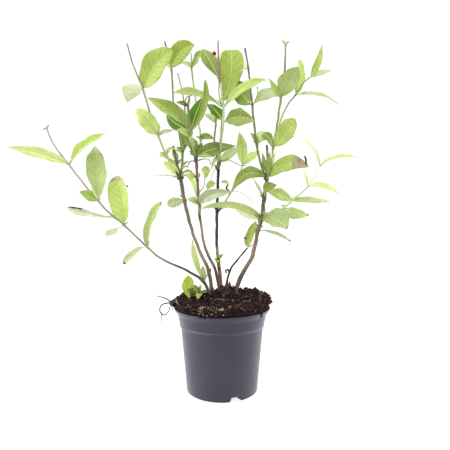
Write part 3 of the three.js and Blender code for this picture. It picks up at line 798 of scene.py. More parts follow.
class StageSettings(bpy.types.PropertyGroup):
    floor_colour: colour_prop("Floor colour", "Colour of the floor", (108, 108, 108))
    glow: plain_prop("Floor glow", "Light that the floor gives off, as a lit table", 0.8)
    world: plain_prop("Backdrop", "Strength of the light from behind", 1.06)
    front: plain_prop("Front", "Strength of the even light from the front", 1.4)
    left: plain_prop("Left panel", "Strength of the left light panel", 6.2)
    right: plain_prop("Right panel", "Strength of the right light panel", 6.2)
    top: plain_prop("Top panel", "Strength of the light panel above", 1.4)


class PlantSettings(bpy.types.PropertyGroup):
    pot: PointerProperty(type=PotSettings)
    compost: PointerProperty(type=CompostSettings)
    stems: PointerProperty(type=StemSettings)
    leaves: PointerProperty(type=LeafSettings)
    stage: PointerProperty(type=StageSettings)


# ---------------------------------------------------------------- shapes


def unit(vectors):
    return vectors / np.linalg.norm(vectors, axis=-1, keepdims=True)


def square_to(direction, wanted):
    """The unit vector nearest to wanted and square to direction: wanted less its share along direction."""
    share = np.sum(wanted * direction, axis=-1, keepdims=True)
    return unit(wanted - share * direction)


def turned(first, second, angle):
    """Two square unit vectors turned in their plane by angle, first towards second."""
    cos, sin = np.cos(angle)[..., None], np.sin(angle)[..., None]
    return first * cos + second * sin, second * cos - first * sin


def spline(points, places):
    """A centripetal Catmull-Rom curve at places from 0 to 1: each stretch between two points is a cubic whose
    end slopes weigh the neighbouring stretches by the square root of their lengths."""
    padded = np.vstack([2 * points[0] - points[1], points, 2 * points[-1] - points[-2]])
    stretches = len(points) - 1
    run = np.clip(places, 0, 1) * stretches
    first = np.minimum(run.astype(int), stretches - 1)
    part = (run - first)[:, None]
    before, start, end, after = (padded[first + shift] for shift in range(4))
    stretch_ends = ((before, start), (start, end), (end, after))
    gaps = [np.linalg.norm(b - a, axis=1, keepdims=True) ** 0.5 for a, b in stretch_ends]
    leave = (start - before) / gaps[0] - (end - before) / (gaps[0] + gaps[1]) + (end - start) / gaps[1]
    reach = (end - start) / gaps[1] - (after - start) / (gaps[1] + gaps[2]) + (after - end) / gaps[2]
    leave, reach = leave * gaps[1], reach * gaps[1]
    square = 3 * (end - start) - 2 * leave - reach
    cube = 2 * (start - end) + leave + reach
    return start + leave * part + square * part**2 + cube * part**3


def distances(path):
    """Distance of each point of a path from its first, along the path."""
    gaps = np.linalg.norm(np.diff(path, axis=0), axis=1)
    return np.concatenate([[0], np.cumsum(gaps)])


def even_places(points, step):
    """Places along the spline whose distances along the curve are equal and close to step."""
    fine = np.linspace(0, 1, 40 * len(points))
    run = distances(spline(points, fine))
    count = max(int(run[-1] / step), 3)
    return np.interp(np.linspace(0, run[-1], count + 1), run, fine)


def even_angles(count):
    return np.arange(count) * 2 * np.pi / count


def round_axis(radius, angle, height):
    """Points at a radius and an angle round the upright axis, and at a height."""
    return np.stack(np.broadcast_arrays(radius * np.cos(angle), radius * np.sin(angle), height), -1)


def waves(places, size, seed, count=20):
    """Smooth unevenness, mostly between -1 and 1: the sum of cosine waves of about that size whose directions
    and phases are seeded, over the square root of their number."""
    rng = np.random.default_rng(seed)
    runs = unit(rng.normal(size=(count, places.shape[-1])))
    runs = runs * (2 * np.pi / size) * rng.uniform(0.6, 1.5, (count, 1))
    phases = rng.uniform(0, 2 * np.pi, count)
    return np.cos(places @ runs.T + phases).sum(-1) / np.sqrt(count)


def tube_rings(path, radii, sides):
    """Rings round a path: at each point the centre plus the radius times the cosine and sine of an even angle
    along the two directions square to the path. Radii are one for each ring, or one for each point."""
    along = unit(np.gradient(path, axis=0))
    facing = FRONT if abs(unit(path[-1] - path[0]) @ FRONT) < 0.8 else UP
    first = square_to(along, facing)
    second = np.cross(along, first)
    angle = even_angles(sides)
    round_ = np.cos(angle)[:, None] * first[:, None] + np.sin(angle)[:, None] * second[:, None]
    radii = np.asarray(radii, float).reshape(len(path), -1)
    return path[:, None] + radii[..., None] * round_


def ring_quads(rows, sides):
    """Corner numbers of the quads between neighbouring rings, as rows less one, by sides, by four."""
    row, side = np.meshgrid(np.arange(rows - 1), np.arange(sides), indexing="ij")
    after, low, high = (side + 1) % sides, row * sides, (row + 1) * sides
    return np.stack([low + side, low + after, high + after, high + side], -1)


def end_fans(rows, sides):
    """Corner numbers of the fans that close the first ring and the last to the two points that follow the
    rings."""
    side = np.arange(sides)
    after, low, last = (side + 1) % sides, rows * sides, (rows - 1) * sides
    return np.concatenate([
        np.stack([np.full(sides, low), after, side], -1),
        np.stack([np.full(sides, low + 1), last + side, last + after], -1),
    ])


# Blender's kind of attribute and its key, by how many numbers a mark has
MARK_KINDS = {1: ("FLOAT", "value"), 3: ("FLOAT_VECTOR", "vector"), 4: ("FLOAT_COLOR", "color")}


class Body:
    """The points, faces and point marks of one piece, gathered part by part."""

    def __init__(self):
        self.parts, self.marks, self.count = [], {}, 0

    def take(self, points, quads, triangles, quad_kinds=0, triangle_kinds=0, **marks):
        """Adds a part. The kind of a face is the number of its material."""
        quad_kinds = np.broadcast_to(quad_kinds, len(quads))
        triangle_kinds = np.broadcast_to(triangle_kinds, len(triangles))
        self.parts.append((points, quads + self.count, triangles + self.count, quad_kinds, triangle_kinds))
        for name, values in marks.items():
            self.marks.setdefault(name, []).append(values)
        self.count += len(points)

    def loft(self, rings, kinds=0, **marks):
        """A closed skin over rings of points: quads between neighbours, and a fan at each end to the ring's
        mean. Each ring runs anticlockwise seen from the end that it leads to."""
        rows, sides = rings.shape[:2]
        quads, fans = ring_quads(rows, sides).reshape(-1, 4), end_fans(rows, sides)
        kinds = np.broadcast_to(kinds, (rows - 1, sides))
        fan_kinds = np.concatenate([kinds[0], kinds[-1]])

        def flat(values):
            values = np.asarray(values, float)
            ends = [values[:1].mean(1), values[-1:].mean(1)]
            return np.concatenate([values.reshape(rows * sides, -1), *(end.reshape(1, -1) for end in ends)])

        marks = {name: flat(values) for name, values in marks.items()}
        self.take(flat(rings), quads, fans, kinds.ravel(), fan_kinds, **marks)

    def piece(self, name, materials, slot, nodes=(), smooth=True):
        """Makes the piece in Blender, in metres, and hangs it on the frame."""
        mesh = bpy.data.meshes.new(name)
        points, quads, triangles, *kinds = (np.concatenate(column) for column in zip(*self.parts))
        mesh.vertices.add(len(points))
        mesh.vertices.foreach_set("co", points.ravel() * MM)
        mesh.loops.add(quads.size + triangles.size)
        mesh.loops.foreach_set("vertex_index", np.concatenate([quads.ravel(), triangles.ravel()]))
        mesh.polygons.add(len(quads) + len(triangles))
        starts = np.concatenate([np.arange(len(quads)) * 4, quads.size + np.arange(len(triangles)) * 3])
        mesh.polygons.foreach_set("loop_start", starts)
        mesh.polygons.foreach_set("material_index", np.concatenate(kinds).astype(np.int32))
        for material in materials:
            mesh.materials.append(material)
        mesh.update(calc_edges=True)
        mesh.validate()
        if smooth:
            mesh.shade_smooth()
        for mark, values in self.marks.items():
            values = np.concatenate(values)
            kind, key = MARK_KINDS[values.shape[1]]
            mesh.attributes.new(mark, kind, "POINT").data.foreach_set(key, values.ravel())
        made = bpy.data.objects.new(name, mesh)
        bpy.context.scene.collection.objects.link(made)
        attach(made, "root")
        if nodes:
            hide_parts(*nodes)
        return made


# ---------------------------------------------------------------- finishes


def node(tree, kind, inputs=None, **settings):
    """Adds a shader node, sets its settings and its inputs, and joins the inputs that are sockets."""
    made = tree.nodes.new(kind)
    for name, value in settings.items():
        setattr(made, name, value)
    for name, value in (inputs or {}).items():
        if isinstance(value, bpy.types.NodeSocket):
            tree.links.new(value, made.inputs[name])
        else:
            made.inputs[name].default_value = value
    return made


def maths(tree, operation, first, second=0.0, third=None):
    values = {0: first, 1: second}
    if third is not None:
        values[2] = third
    return node(tree, "ShaderNodeMath", values, operation=operation).outputs[0]


def product(tree, value, *others):
    for other in others:
        value = maths(tree, "MULTIPLY", value, other)
    return value


def ranged(tree, value, start, end, low, high, **settings):
    """A value between start and end mapped onto low to high, evenly unless the settings smooth it, and held
    beyond them."""
    return node(tree, "ShaderNodeMapRange", {
        "Value": value, "From Min": start, "From Max": end, "To Min": low, "To Max": high,
    }, **settings).outputs[0]


def mixed(tree, share, first, second, blend="MIX"):
    """A colour between first and second, by share."""
    mix = node(tree, "ShaderNodeMix", data_type="RGBA", blend_type=blend)
    for index, value in ((0, share), (6, first), (7, second)):
        if isinstance(value, bpy.types.NodeSocket):
            tree.links.new(value, mix.inputs[index])
        else:
            mix.inputs[index].default_value = value
    return mix.outputs[2]


def group(name, inputs, outputs):
    """A new shader node group with these named inputs, as (kind, default), and outputs."""
    made = bpy.data.node_groups.new(name, "ShaderNodeTree")
    for label, (kind, default) in inputs.items():
        socket = made.interface.new_socket(name=label, in_out="INPUT", socket_type=kind)
        if default is not None:
            socket.default_value = default
    for label, kind in outputs.items():
        made.interface.new_socket(name=label, in_out="OUTPUT", socket_type=kind)
    return made, made.nodes.new("NodeGroupInput"), made.nodes.new("NodeGroupOutput")


def uneven_group():
    """Uneven tone: broad patches times fine grain, between 0 and 1, and the grain as a height."""
    name = "Uneven tone"
    if name in bpy.data.node_groups:
        return bpy.data.node_groups[name]
    tree, given, result = group(
        name,
        {
            "Place": ("NodeSocketVector", None),
            "Patch size": ("NodeSocketFloat", 60.0),
            "Grain size": ("NodeSocketFloat", 600.0),
            "Contrast": ("NodeSocketFloat", 1.0),
            "Grain detail": ("NodeSocketFloat", 4.0),
        },
        {"Tone": "NodeSocketFloat", "Height": "NodeSocketFloat"},
    )
    patches = node(tree, "ShaderNodeTexNoise", {
        "Vector": given.outputs["Place"], "Scale": given.outputs["Patch size"],
        "Detail": 3.0, "Roughness": 0.6,
    }).outputs[0]
    grain = node(tree, "ShaderNodeTexNoise", {
        "Vector": given.outputs["Place"], "Scale": given.outputs["Grain size"],
        "Detail": given.outputs["Grain detail"], "Roughness": 0.65,
    }).outputs[0]
    both = maths(tree, "MULTIPLY_ADD", grain, 0.4, product(tree, patches, 0.6))
    spread = product(tree, maths(tree, "SUBTRACT", both, 0.5), given.outputs["Contrast"])
    tone = node(tree, "ShaderNodeClamp", {"Value": maths(tree, "MULTIPLY_ADD", spread, 3.0, 0.5)}).outputs[0]
    tree.links.new(tone, result.inputs["Tone"])
    tree.links.new(grain, result.inputs["Height"])
    return tree


def vein_group():
    """Leaf veins: side veins where the count of pairs times the place along, less a slope times the place
    across, is a whole number, and a net of fine veins between them."""
    name = "Leaf veins"
    if name in bpy.data.node_groups:
        return bpy.data.node_groups[name]
    tree, given, result = group(
        name,
        {
            "Blade": ("NodeSocketVector", None),
            "Pairs": ("NodeSocketFloat", float(VEIN_PAIRS)),
            "Slope": ("NodeSocketFloat", VEIN_SLOPE),
        },
        {"Veins": "NodeSocketFloat", "Net": "NodeSocketFloat"},
    )
    parts = node(tree, "ShaderNodeSeparateXYZ", {"Vector": given.outputs["Blade"]})
    across = maths(tree, "ABSOLUTE", parts.outputs[1])
    slanted = product(tree, across, given.outputs["Slope"])
    along = product(tree, parts.outputs[0], given.outputs["Pairs"])
    count = maths(tree, "SUBTRACT", along, slanted)
    near = maths(tree, "PINGPONG", count, 0.5)
    line = ranged(tree, near, 0.0, 0.2, 1.0, 0.0, interpolation_type="SMOOTHSTEP")
    fade = maths(tree, "SUBTRACT", 1.0, maths(tree, "POWER", across, 3.0))
    fine = node(
        tree, "ShaderNodeVectorMath", {0: given.outputs["Blade"], 1: (26.0, 9.0, 40.0)}, operation="MULTIPLY"
    ).outputs[0]
    cells = node(
        tree, "ShaderNodeTexVoronoi", {"Vector": fine, "Scale": 1.0}, feature="DISTANCE_TO_EDGE"
    ).outputs["Distance"]
    net = ranged(tree, cells, 0.0, 0.12, 1.0, 0.0)
    tree.links.new(product(tree, line, fade), result.inputs["Veins"])
    tree.links.new(net, result.inputs["Net"])
    return tree


class Finish:
    """A Principled material under construction: the tree, the shader and the usual sources."""

    def __init__(self, name, roughness, **settings):
        self.material = bpy.data.materials.new(name)
        self.material.use_nodes = True
        self.tree = self.material.node_tree
        self.shader = self.tree.nodes["Principled BSDF"]
        self.shader.inputs["Roughness"].default_value = roughness
        for socket, value in settings.items():
            self.shader.inputs[socket.replace("_", " ")].default_value = value

    def object_place(self):
        return node(self.tree, "ShaderNodeTexCoord").outputs["Object"]

    def mark(self, name, output="Fac"):
        return node(self.tree, "ShaderNodeAttribute", attribute_name=name).outputs[output]

    def stretched(self, place, scale):
        return node(self.tree, "ShaderNodeMapping", {"Vector": place, "Scale": scale}).outputs[0]

    def colour(self, socket):
        self.tree.links.new(socket, self.shader.inputs["Base Color"])

    def rough(self, socket):
        self.tree.links.new(socket, self.shader.inputs["Roughness"])

    def bump(self, height, depth, strength=1.0):
        made = node(self.tree, "ShaderNodeBump", {"Height": height, "Distance": depth, "Strength": strength})
        self.tree.links.new(made.outputs[0], self.shader.inputs["Normal"])


def uneven(finish, place, patch, grain, contrast=1.0, detail=4.0):
    """The uneven tone group placed in a finish: its tone and its height."""
    made = node(finish.tree, "ShaderNodeGroup", {
        "Place": place, "Patch size": patch, "Grain size": grain,
        "Contrast": contrast, "Grain detail": detail,
    }, node_tree=uneven_group())
    return made.outputs["Tone"], made.outputs["Height"]


def shaded(colour, shares):
    """A colour times one share, or one for each of red, green and blue, at most full, with full alpha."""
    return tuple(np.minimum(np.array(colour[:3]) * shares, 1)) + (1.0,)


def pot_finish(settings):
    """Satin moulded plastic with faint scuffs and dust."""
    finish = Finish("Pot plastic", 0.42, Specular_IOR_Level=0.5, Specular_Tint=(0.86, 0.8, 1.0, 1.0),
                    Sheen_Weight=0.2, Sheen_Roughness=0.4, Sheen_Tint=(0.93, 0.92, 1.0, 1.0))
    place = finish.object_place()
    tone, height = uneven(finish, place, 34, 420, 0.9)
    streaks, _ = uneven(finish, finish.stretched(place, (1.0, 1.0, 6.0)), 60, 900, 1.6)
    scuffs = product(finish.tree, streaks, tone, 0.35)
    finish.colour(mixed(finish.tree, scuffs, settings.colour, settings.scuff_colour))
    finish.rough(maths(finish.tree, "MULTIPLY_ADD", tone, 0.2, 0.34))
    finish.bump(height, 0.00012, 0.5)
    return finish.material


def earth_finish(name, colour, second, patch=300.0, grain=1800.0, roughness=0.9, depth=0.0006):
    """Matt crumbs or fibres in two uneven colours."""
    finish = Finish(name, roughness, Specular_IOR_Level=0.08)
    tone, height = uneven(finish, finish.object_place(), patch, grain, 1.6)
    finish.colour(mixed(finish.tree, tone, colour, second))
    finish.bump(height, depth)
    return finish.material


def stem_finish(name, roughness, crack):
    """Bark or shoot skin: the limb's own tone, darker in long cracks, with pale specks, along the limb."""
    finish = Finish(name, roughness, Specular_IOR_Level=0.35)
    tree = finish.tree
    straight = finish.mark("straight", "Vector")
    tone, height = uneven(finish, finish.stretched(straight, (1.0, 1.0, 0.16)), 0.55, 2.2, 1.5)
    specks, _ = uneven(finish, finish.stretched(straight, (1.0, 1.0, 0.5)), 0.9, 3.0, 2.2)
    skin = finish.mark("skin", "Color")
    crack = product(tree, finish.mark("rugged"), crack)
    dark = mixed(tree, 1.0, skin, (0.42, 0.38, 0.36, 1.0), "MULTIPLY")
    shade = mixed(tree, product(tree, maths(tree, "SUBTRACT", 1.0, tone), crack), skin, dark)
    light = mixed(tree, 1.0, shade, (1.5, 1.42, 1.34, 1.0), "MULTIPLY")
    spot = maths(tree, "GREATER_THAN", specks, 0.93)
    finish.colour(mixed(tree, product(tree, spot, crack), shade, light))
    finish.bump(height, 0.0005, 0.8)
    return finish.material


def leaf_finish(name, colour, gloss, leaves, under=False):
    """A satin blade: its tint, a little lighter on the veins and uneven between them, with dried ends."""
    finish = Finish(name, 0.62 if under else 0.5, Specular_IOR_Level=gloss * (0.7 if under else 1.0))
    tree = finish.tree
    made = node(tree, "ShaderNodeGroup", {"Blade": finish.mark("blade", "Vector")}, node_tree=vein_group())
    tone, _ = uneven(finish, finish.object_place(), 50, 120, 1.3, 1.0)
    vein = shaded(colour, (1.28, 1.18, 1.45))
    face = mixed(tree, tone, shaded(colour, (0.84, 0.88, 0.72)), shaded(colour, (1.12, 1.06, 1.2)))
    clear = finish.mark("clear")
    net = product(tree, made.outputs["Net"], clear, 0.05)
    veins = product(tree, made.outputs["Veins"], clear, 0.8)
    face = mixed(tree, veins, mixed(tree, net, face, vein), vein)
    brown = mixed(tree, tone, shaded(leaves.dry_colour, 0.6), tuple(leaves.dry_colour))
    face = mixed(tree, finish.mark("dry"), face, brown)
    finish.colour(mixed(tree, finish.mark("char"), face, CHARRED))
    return finish.material


def rib_finish(leaves):
    """Midribs and leaf stalks: pale green, satin."""
    finish = Finish("Leaf rib", 0.5, Specular_IOR_Level=0.25)
    tree = finish.tree
    tone, height = uneven(finish, finish.object_place(), 90, 900, 0.8)
    base = tuple(leaves.rib_colour)
    green = mixed(tree, tone, shaded(base, (0.82, 0.86, 0.75)), base)
    face = mixed(tree, finish.mark("dry"), green, tuple(leaves.dry_colour))
    finish.colour(mixed(tree, finish.mark("char"), face, CHARRED))
    finish.bump(height, 0.0001, 0.5)
    return finish.material


# ---------------------------------------------------------------- pot


def drain_angles():
    return np.radians(DRAIN["first"] + 360 / DRAIN["count"] * np.arange(DRAIN["count"]))


def away_from(angle, centre):
    """Signed angle from centre, between minus and plus a half turn."""
    return (angle - centre + np.pi) % (2 * np.pi) - np.pi


def pot_profile():
    """The closed outline of the wall as (radius, height): out under the floor, up the outer face over the
    ridge, the collar and the lip, down the inner face and back over the floor. Also how many of its points
    stand on either face up to the top of a slot."""
    high, cut = DRAIN["high"], BASE_RADIUS - DRAIN["deep"]
    inner_foot = BASE_RADIUS - WALL
    outer = [(cut, 0), (cut + 5.5, 0), (BASE_RADIUS - 0.8, 0), (BASE_RADIUS - 0.2, 0.25), (BASE_RADIUS, 0.8),
             (BASE_RADIUS + 0.3, high)]
    inner = [(cut, POT_FLOOR), (cut + 5, POT_FLOOR), (inner_foot - 1.2, POT_FLOOR), (inner_foot - 0.3, 2.5),
             (inner_foot, 3.3), (inner_foot + 0.3, high)]
    wall_top = RIDGE_HEIGHT - 1.4
    slope = (WALL_TOP_RADIUS - BASE_RADIUS - 0.3) / (wall_top - high)
    rise = [(BASE_RADIUS + 0.3 + slope * (z - high), z) for z in np.linspace(high, wall_top, 26)[1:]]
    ridge = [(WALL_TOP_RADIUS + 0.5, 88.0), (RIDGE_RADIUS, 88.5), (RIDGE_RADIUS + 0.5, 89.2),
             (RIDGE_RADIUS + 0.55, 89.9), (RIDGE_RADIUS + 0.2, 90.5), (RIDGE_RADIUS - 0.05, RIDGE_TOP)]
    collar = [(RIDGE_RADIUS + 0.1 + 3.2 * t, RIDGE_TOP + 13.6 * t) for t in np.linspace(0.12, 1, 8)]
    lip = [(COLLAR_TOP_RADIUS + 0.9, 106.2), (62.6, 108.4), (64.2, 110.4), (64.9, 111.6), (RIM_RADIUS, 112.4),
           (64.8, 112.9), (64.4, POT_HEIGHT), (63.9, 112.8), (63.6, 112.2)]
    inside = [(62.4, 109.6), (60.6, 107), (COLLAR_TOP_RADIUS - WALL, COLLAR_TOP)]
    inside += [(COLLAR_TOP_RADIUS - WALL - 4.4 * t, COLLAR_TOP - 15 * t) for t in np.linspace(0.2, 1, 5)]
    fall = [(r - WALL, z) for r, z in rise[::-1][1:]]
    return outer + rise + ridge + collar + lip + inside + fall + inner[::-1], len(outer)


def pot_points(profile, settings):
    """The outline turned round the pot, and which columns a slot cuts. Columns near a slot lean with its
    slanted sides and settle again above it. The radius grows by bow times the cosine of twice the angle, more
    so to the top, and a bell-shaped dent pushes the lip in and down."""
    high = DRAIN["high"]
    angle = even_angles(POT_SIDES)
    radius, height = (np.repeat(np.array(column)[:, None], POT_SIDES, 1) for column in zip(*profile))
    angles = np.repeat(angle[None], len(profile), 0)
    lean = np.clip(height / high, 0, 1) * np.clip((3 * high - height) / (2 * high), 0, 1)
    half = DRAIN["wide"] / 2 / BASE_RADIUS
    narrow = (DRAIN["wide"] - DRAIN["narrow"]) / 2 / BASE_RADIUS
    cut = np.zeros(POT_SIDES, bool)
    for centre in drain_angles():
        gap = away_from(angle, centre)
        near = np.clip(2 - np.abs(gap) / half, 0, 1) * np.minimum(np.abs(gap) / half, 1)
        angles = angles - lean * narrow * (np.sign(gap) * near)[None]
        cut |= np.abs(gap + 1e-9) < half
    radius = radius + settings.bow / MM * np.clip(height / POT_HEIGHT, 0, 1) * np.cos(2 * angles + 0.6)
    nick = np.exp(-(away_from(angles, np.radians(NICK["angle"])) / NICK["wide"]) ** 2)
    nick = nick * np.clip((height - NICK["foot"]) / 5, 0, 1)
    radius = radius - settings.nick / MM * nick
    height = height - NICK["drop"] * nick * (height > NICK["edge"])
    return round_axis(radius, angles, height), cut


def pot_quads(rows, foot, cut):
    """Quads between neighbouring points, without those that a slot cuts, and bands round each opening: over
    the slot, at the cut in the floor, and down both sides."""
    across = cut & np.roll(cut, -1)
    row = np.arange(rows - 1)[:, None]
    open_ = ((row < foot - 1) | (row >= rows - foot)) & across
    found = [ring_quads(rows, POT_SIDES)[~open_]]
    columns = np.flatnonzero(across)
    after = (columns + 1) % POT_SIDES
    for near, far, flip in ((foot - 1, rows - foot, False), (0, rows - 1, True)):
        near, far = near * POT_SIDES, far * POT_SIDES
        band = [near + columns, near + after, far + after, far + columns]
        found.append(np.stack(band[::-1] if flip else band, -1))
    starts, ends = np.flatnonzero(cut & ~np.roll(cut, 1)), np.flatnonzero(cut & ~np.roll(cut, -1))
    for columns, flip in ((starts, True), (ends, False)):
        for step in range(foot - 1):
            far = rows - 1 - step
            band = [number * POT_SIDES + columns for number in (step, step + 1, far - 1, far)]
            found.append(np.stack(band[::-1] if flip else band, -1))
    return np.concatenate(found)


def pot_body(settings):
    """A turned wall: the radius is a function of the height along a closed profile, times the angle round.
    Between the drain slots the profile is whole. At a slot the foot of the wall and the edge of the floor are
    left out, and a band of quads joins the outer face to the inner one round the opening. The floor's middle
    closes with a fan below and above."""
    profile, foot = pot_profile()
    points, cut = pot_points(profile, settings)
    quads, fans = pot_quads(len(profile), foot, cut), end_fans(len(profile), POT_SIDES)
    points = np.vstack([points.reshape(-1, 3), [[0, 0, 0]], [[0, 0, POT_FLOOR]]])
    body = Body()
    body.take(points, quads, fans)
    return body


# ---------------------------------------------------------------- compost


def mound_edge(angle):
    return RIM_RADIUS - 1 + 1.4 * np.sin(3 * angle + 1) + np.sin(7 * angle)


def mound_height(x, y):
    """The smooth mound: the edge height, plus a bell for each peak, plus a low cross ripple."""
    peaks = sum(
        high * np.exp(-((x - peak_x) ** 2 + (y - peak_y) ** 2) / (2 * spread**2))
        for peak_x, peak_y, high, spread in MOUND_PEAKS
    )
    return MOUND_EDGE + peaks + 1.2 * np.sin(x / 5 + 1) * np.cos(y / 6)


def on_mound(share, angle):
    """Points of the mound at a share of its radius. Over the brow it falls off by the square of the way
    across."""
    points = round_axis(share * mound_edge(angle), angle, 0)
    brow = np.clip((share - BROW["share"]) / BROW["wide"], 0, 1)
    points[..., 2] = mound_height(points[..., 0], points[..., 1]) - BROW["drop"] * brow**2
    return points


def crumbly(points, rough):
    """Crumb relief: the absolute value of three sizes of waves, so that ridges meet in sharp furrows."""
    coarse = np.abs(waves(points, 11, 1)) * 1.5
    mid = np.abs(waves(points, 5, 2)) * 1.1
    fine = np.abs(waves(points, 2.2, 3)) * 0.6
    return rough * (coarse + mid + fine - 1.1)


def compost_body(rough):
    """A polar surface: across the mound its height is the smooth mound plus crumb relief, and down the pot
    its radius follows the wall, stepping in over the drain slots."""
    sides, rings = 260, 74
    angle = even_angles(sides)
    share = np.sin(np.linspace(0, 1, rings)[1:] * np.pi / 2)[::-1]
    top = on_mound(share[:, None], angle)
    edge = np.clip((share - 0.2) / 0.8, 0, 1)[:, None]
    top[..., 2] += crumbly(top, rough)
    outward = 0.7 * waves(top, 4, 4) * edge
    top[..., 0] += outward * np.cos(angle)
    top[..., 1] += outward * np.sin(angle)
    clear = WALL + 2 * GAP
    slot = np.zeros(sides, bool)
    for centre in drain_angles():
        slot |= np.abs(away_from(angle, centre)) < DRAIN["wide"] / 2 / BASE_RADIUS
    cut, above, foot = BASE_RADIUS - DRAIN["deep"] - 1, DRAIN["high"] + 0.8, BASE_RADIUS - clear
    floor = POT_FLOOR + GAP
    down = [
        (cut, floor),
        (np.where(slot, cut, foot), np.where(slot, above, floor)),
        (foot, above),
        (WALL_TOP_RADIUS - clear, RIDGE_HEIGHT),
        (COLLAR_TOP_RADIUS - clear, COLLAR_TOP + 1),
        (RIM_RADIUS - clear - 1, POT_HEIGHT),
    ]
    lower = np.stack([round_axis(radius, angle, height) for radius, height in down])
    body = Body()
    body.loft(np.concatenate([lower, top]))
    return body


def scatter_lumps(body, centres, sizes, seed, kinds=0):
    """Many uneven lumps as whole arrays: each point of a coarse ball, pushed out or in by a seeded share,
    scaled along three seeded axes and set on its centre."""
    rng = np.random.default_rng(seed)
    count = len(centres)
    tilt = np.linspace(0, np.pi, LUMP_ROWS + 2)[1:-1]
    angle = even_angles(LUMP_SIDES)
    ball = round_axis(np.sin(tilt)[:, None], angle, -np.cos(tilt)[:, None]).reshape(-1, 3)
    ball = np.vstack([ball, [[0, 0, -1]], [[0, 0, 1]]])
    push = rng.uniform(0.62, 1.25, (count, len(ball), 1))
    shape = sizes[:, None, :] * ball * push
    axis = np.linalg.qr(rng.normal(size=(count, 3, 3)))[0]
    axis *= np.sign(np.linalg.det(axis))[:, None, None]
    points = (shape @ axis + centres[:, None]).reshape(-1, 3)
    quads, fans = ring_quads(LUMP_ROWS, LUMP_SIDES).reshape(-1, 4), end_fans(LUMP_ROWS, LUMP_SIDES)
    shift = (np.arange(count) * len(ball))[:, None, None]
    kinds = np.broadcast_to(kinds, count)
    body.take(
        points, (quads + shift).reshape(-1, 4), (fans + shift).reshape(-1, 3),
        np.repeat(kinds, len(quads)), np.repeat(kinds, len(fans)),
    )


def mound_places(rng, count, inner=0.0, outer=1.0):
    """Seeded places on the mound, even in area between two shares of its radius."""
    angle = rng.uniform(0, 2 * np.pi, count)
    share = np.sqrt(rng.uniform(inner**2, outer**2, count))
    return on_mound(share, angle)


def shoulder_places(rng, count):
    """Seeded places at the front left of the mound: on its shoulder and, nearer the lip, down its steep
    edge."""
    angle = np.radians(rng.uniform(*SHOULDER["turns"], count))
    reach = rng.uniform(*SHOULDER["reach"], count)
    fall = SHOULDER["fall"] * np.clip(reach - SHOULDER["edge"], 0, 9)
    height = MOUND_EDGE + SHOULDER["lift"] - fall + rng.uniform(-0.4, 1.5, count)
    return round_axis(reach, angle, height)


def crumb_body(rng, settings):
    """Crumbs all over the mound and thickest at its edge, some of them dry, and more dry ones on its right
    flank as a painted highlight in their paler colour, with lumps over the lip and crumbs on it. The sizes on
    the mound are drawn from a gamma law."""
    body = Body()
    count = settings.crumbs
    places = np.vstack([mound_places(rng, count * 2 // 3), mound_places(rng, count // 3, 0.86, 1.02)])
    sizes = rng.gamma(2.2, 0.32, (len(places), 1)) * rng.uniform(0.6, 1.5, (len(places), 3)) + 0.25
    places[:, 2] += crumbly(places, settings.rough / MM) + rng.uniform(0, 0.9, len(places))
    # The extra pale dry crumbs on the right flank are a painted highlight; the rest are real dry crumbs.
    dry_share_with_painted_highlight = 0.1 + 0.16 * np.clip((places[:, 0] - 5) / 20, 0, 1) * (places[:, 1] > -46)
    kinds = (rng.uniform(size=len(places)) < dry_share_with_painted_highlight).astype(int)
    scatter_lumps(body, places, sizes, SEEDS["crumb shapes"], kinds)
    overhang, spill = np.array(OVERHANG, float), np.array(SPILL, float)
    sizes = rng.uniform(1.4, 3.2, (len(overhang), 3))
    scatter_lumps(body, overhang, sizes, SEEDS["overhang shapes"], np.arange(len(overhang)) % 3 > 0)
    scatter_lumps(body, spill, rng.uniform(0.9, 1.7, (len(spill), 3)), SEEDS["spill shapes"])
    return body


def chip_body(rng):
    """Flat bark chips: some strewn, most heaped on the crown up to a cone's height, and some on the
    shoulder."""
    strewn, crown = STREWN["chips"], STREWN["heap chips"]
    x, y = rng.uniform(0, 20, crown), rng.uniform(-12, 6, crown)
    heap = HEAP["high"] * np.clip(1 - np.hypot(x - HEAP["x"], y - HEAP["y"]) / HEAP["spread"], 0, 1)
    places = np.vstack([
        mound_places(rng, strewn),
        np.stack([x, y, mound_height(x, y) + heap * rng.uniform(0, 1, crown) + 0.8], 1),
        shoulder_places(rng, STREWN["shoulder chips"]),
    ])
    sizes = rng.uniform(0.7, 1, (len(places), 1))
    sizes = sizes * rng.uniform((2.2, 1.2, 0.5), (4.6, 2.2, 1), (len(places), 3))
    sizes[strewn + crown:] *= 0.7
    body = Body()
    scatter_lumps(body, places, sizes, SEEDS["chip shapes"])
    return body


def grit_body(rng):
    """Pale grit strewn over the mound, coarser on the shoulder, and one pebble."""
    strewn = STREWN["grit"]
    places = mound_places(rng, strewn, 0.1, 0.98)
    places[:, 2] += 1.2
    places = np.vstack([places, shoulder_places(rng, STREWN["shoulder grit"]), [PEBBLE["place"]]])
    sizes = rng.uniform(0.45, 1.1, (len(places), 3))
    sizes[strewn:] *= 1.4
    sizes[-1] = PEBBLE["size"]
    body = Body()
    scatter_lumps(body, places, sizes, SEEDS["grit shapes"])
    return body


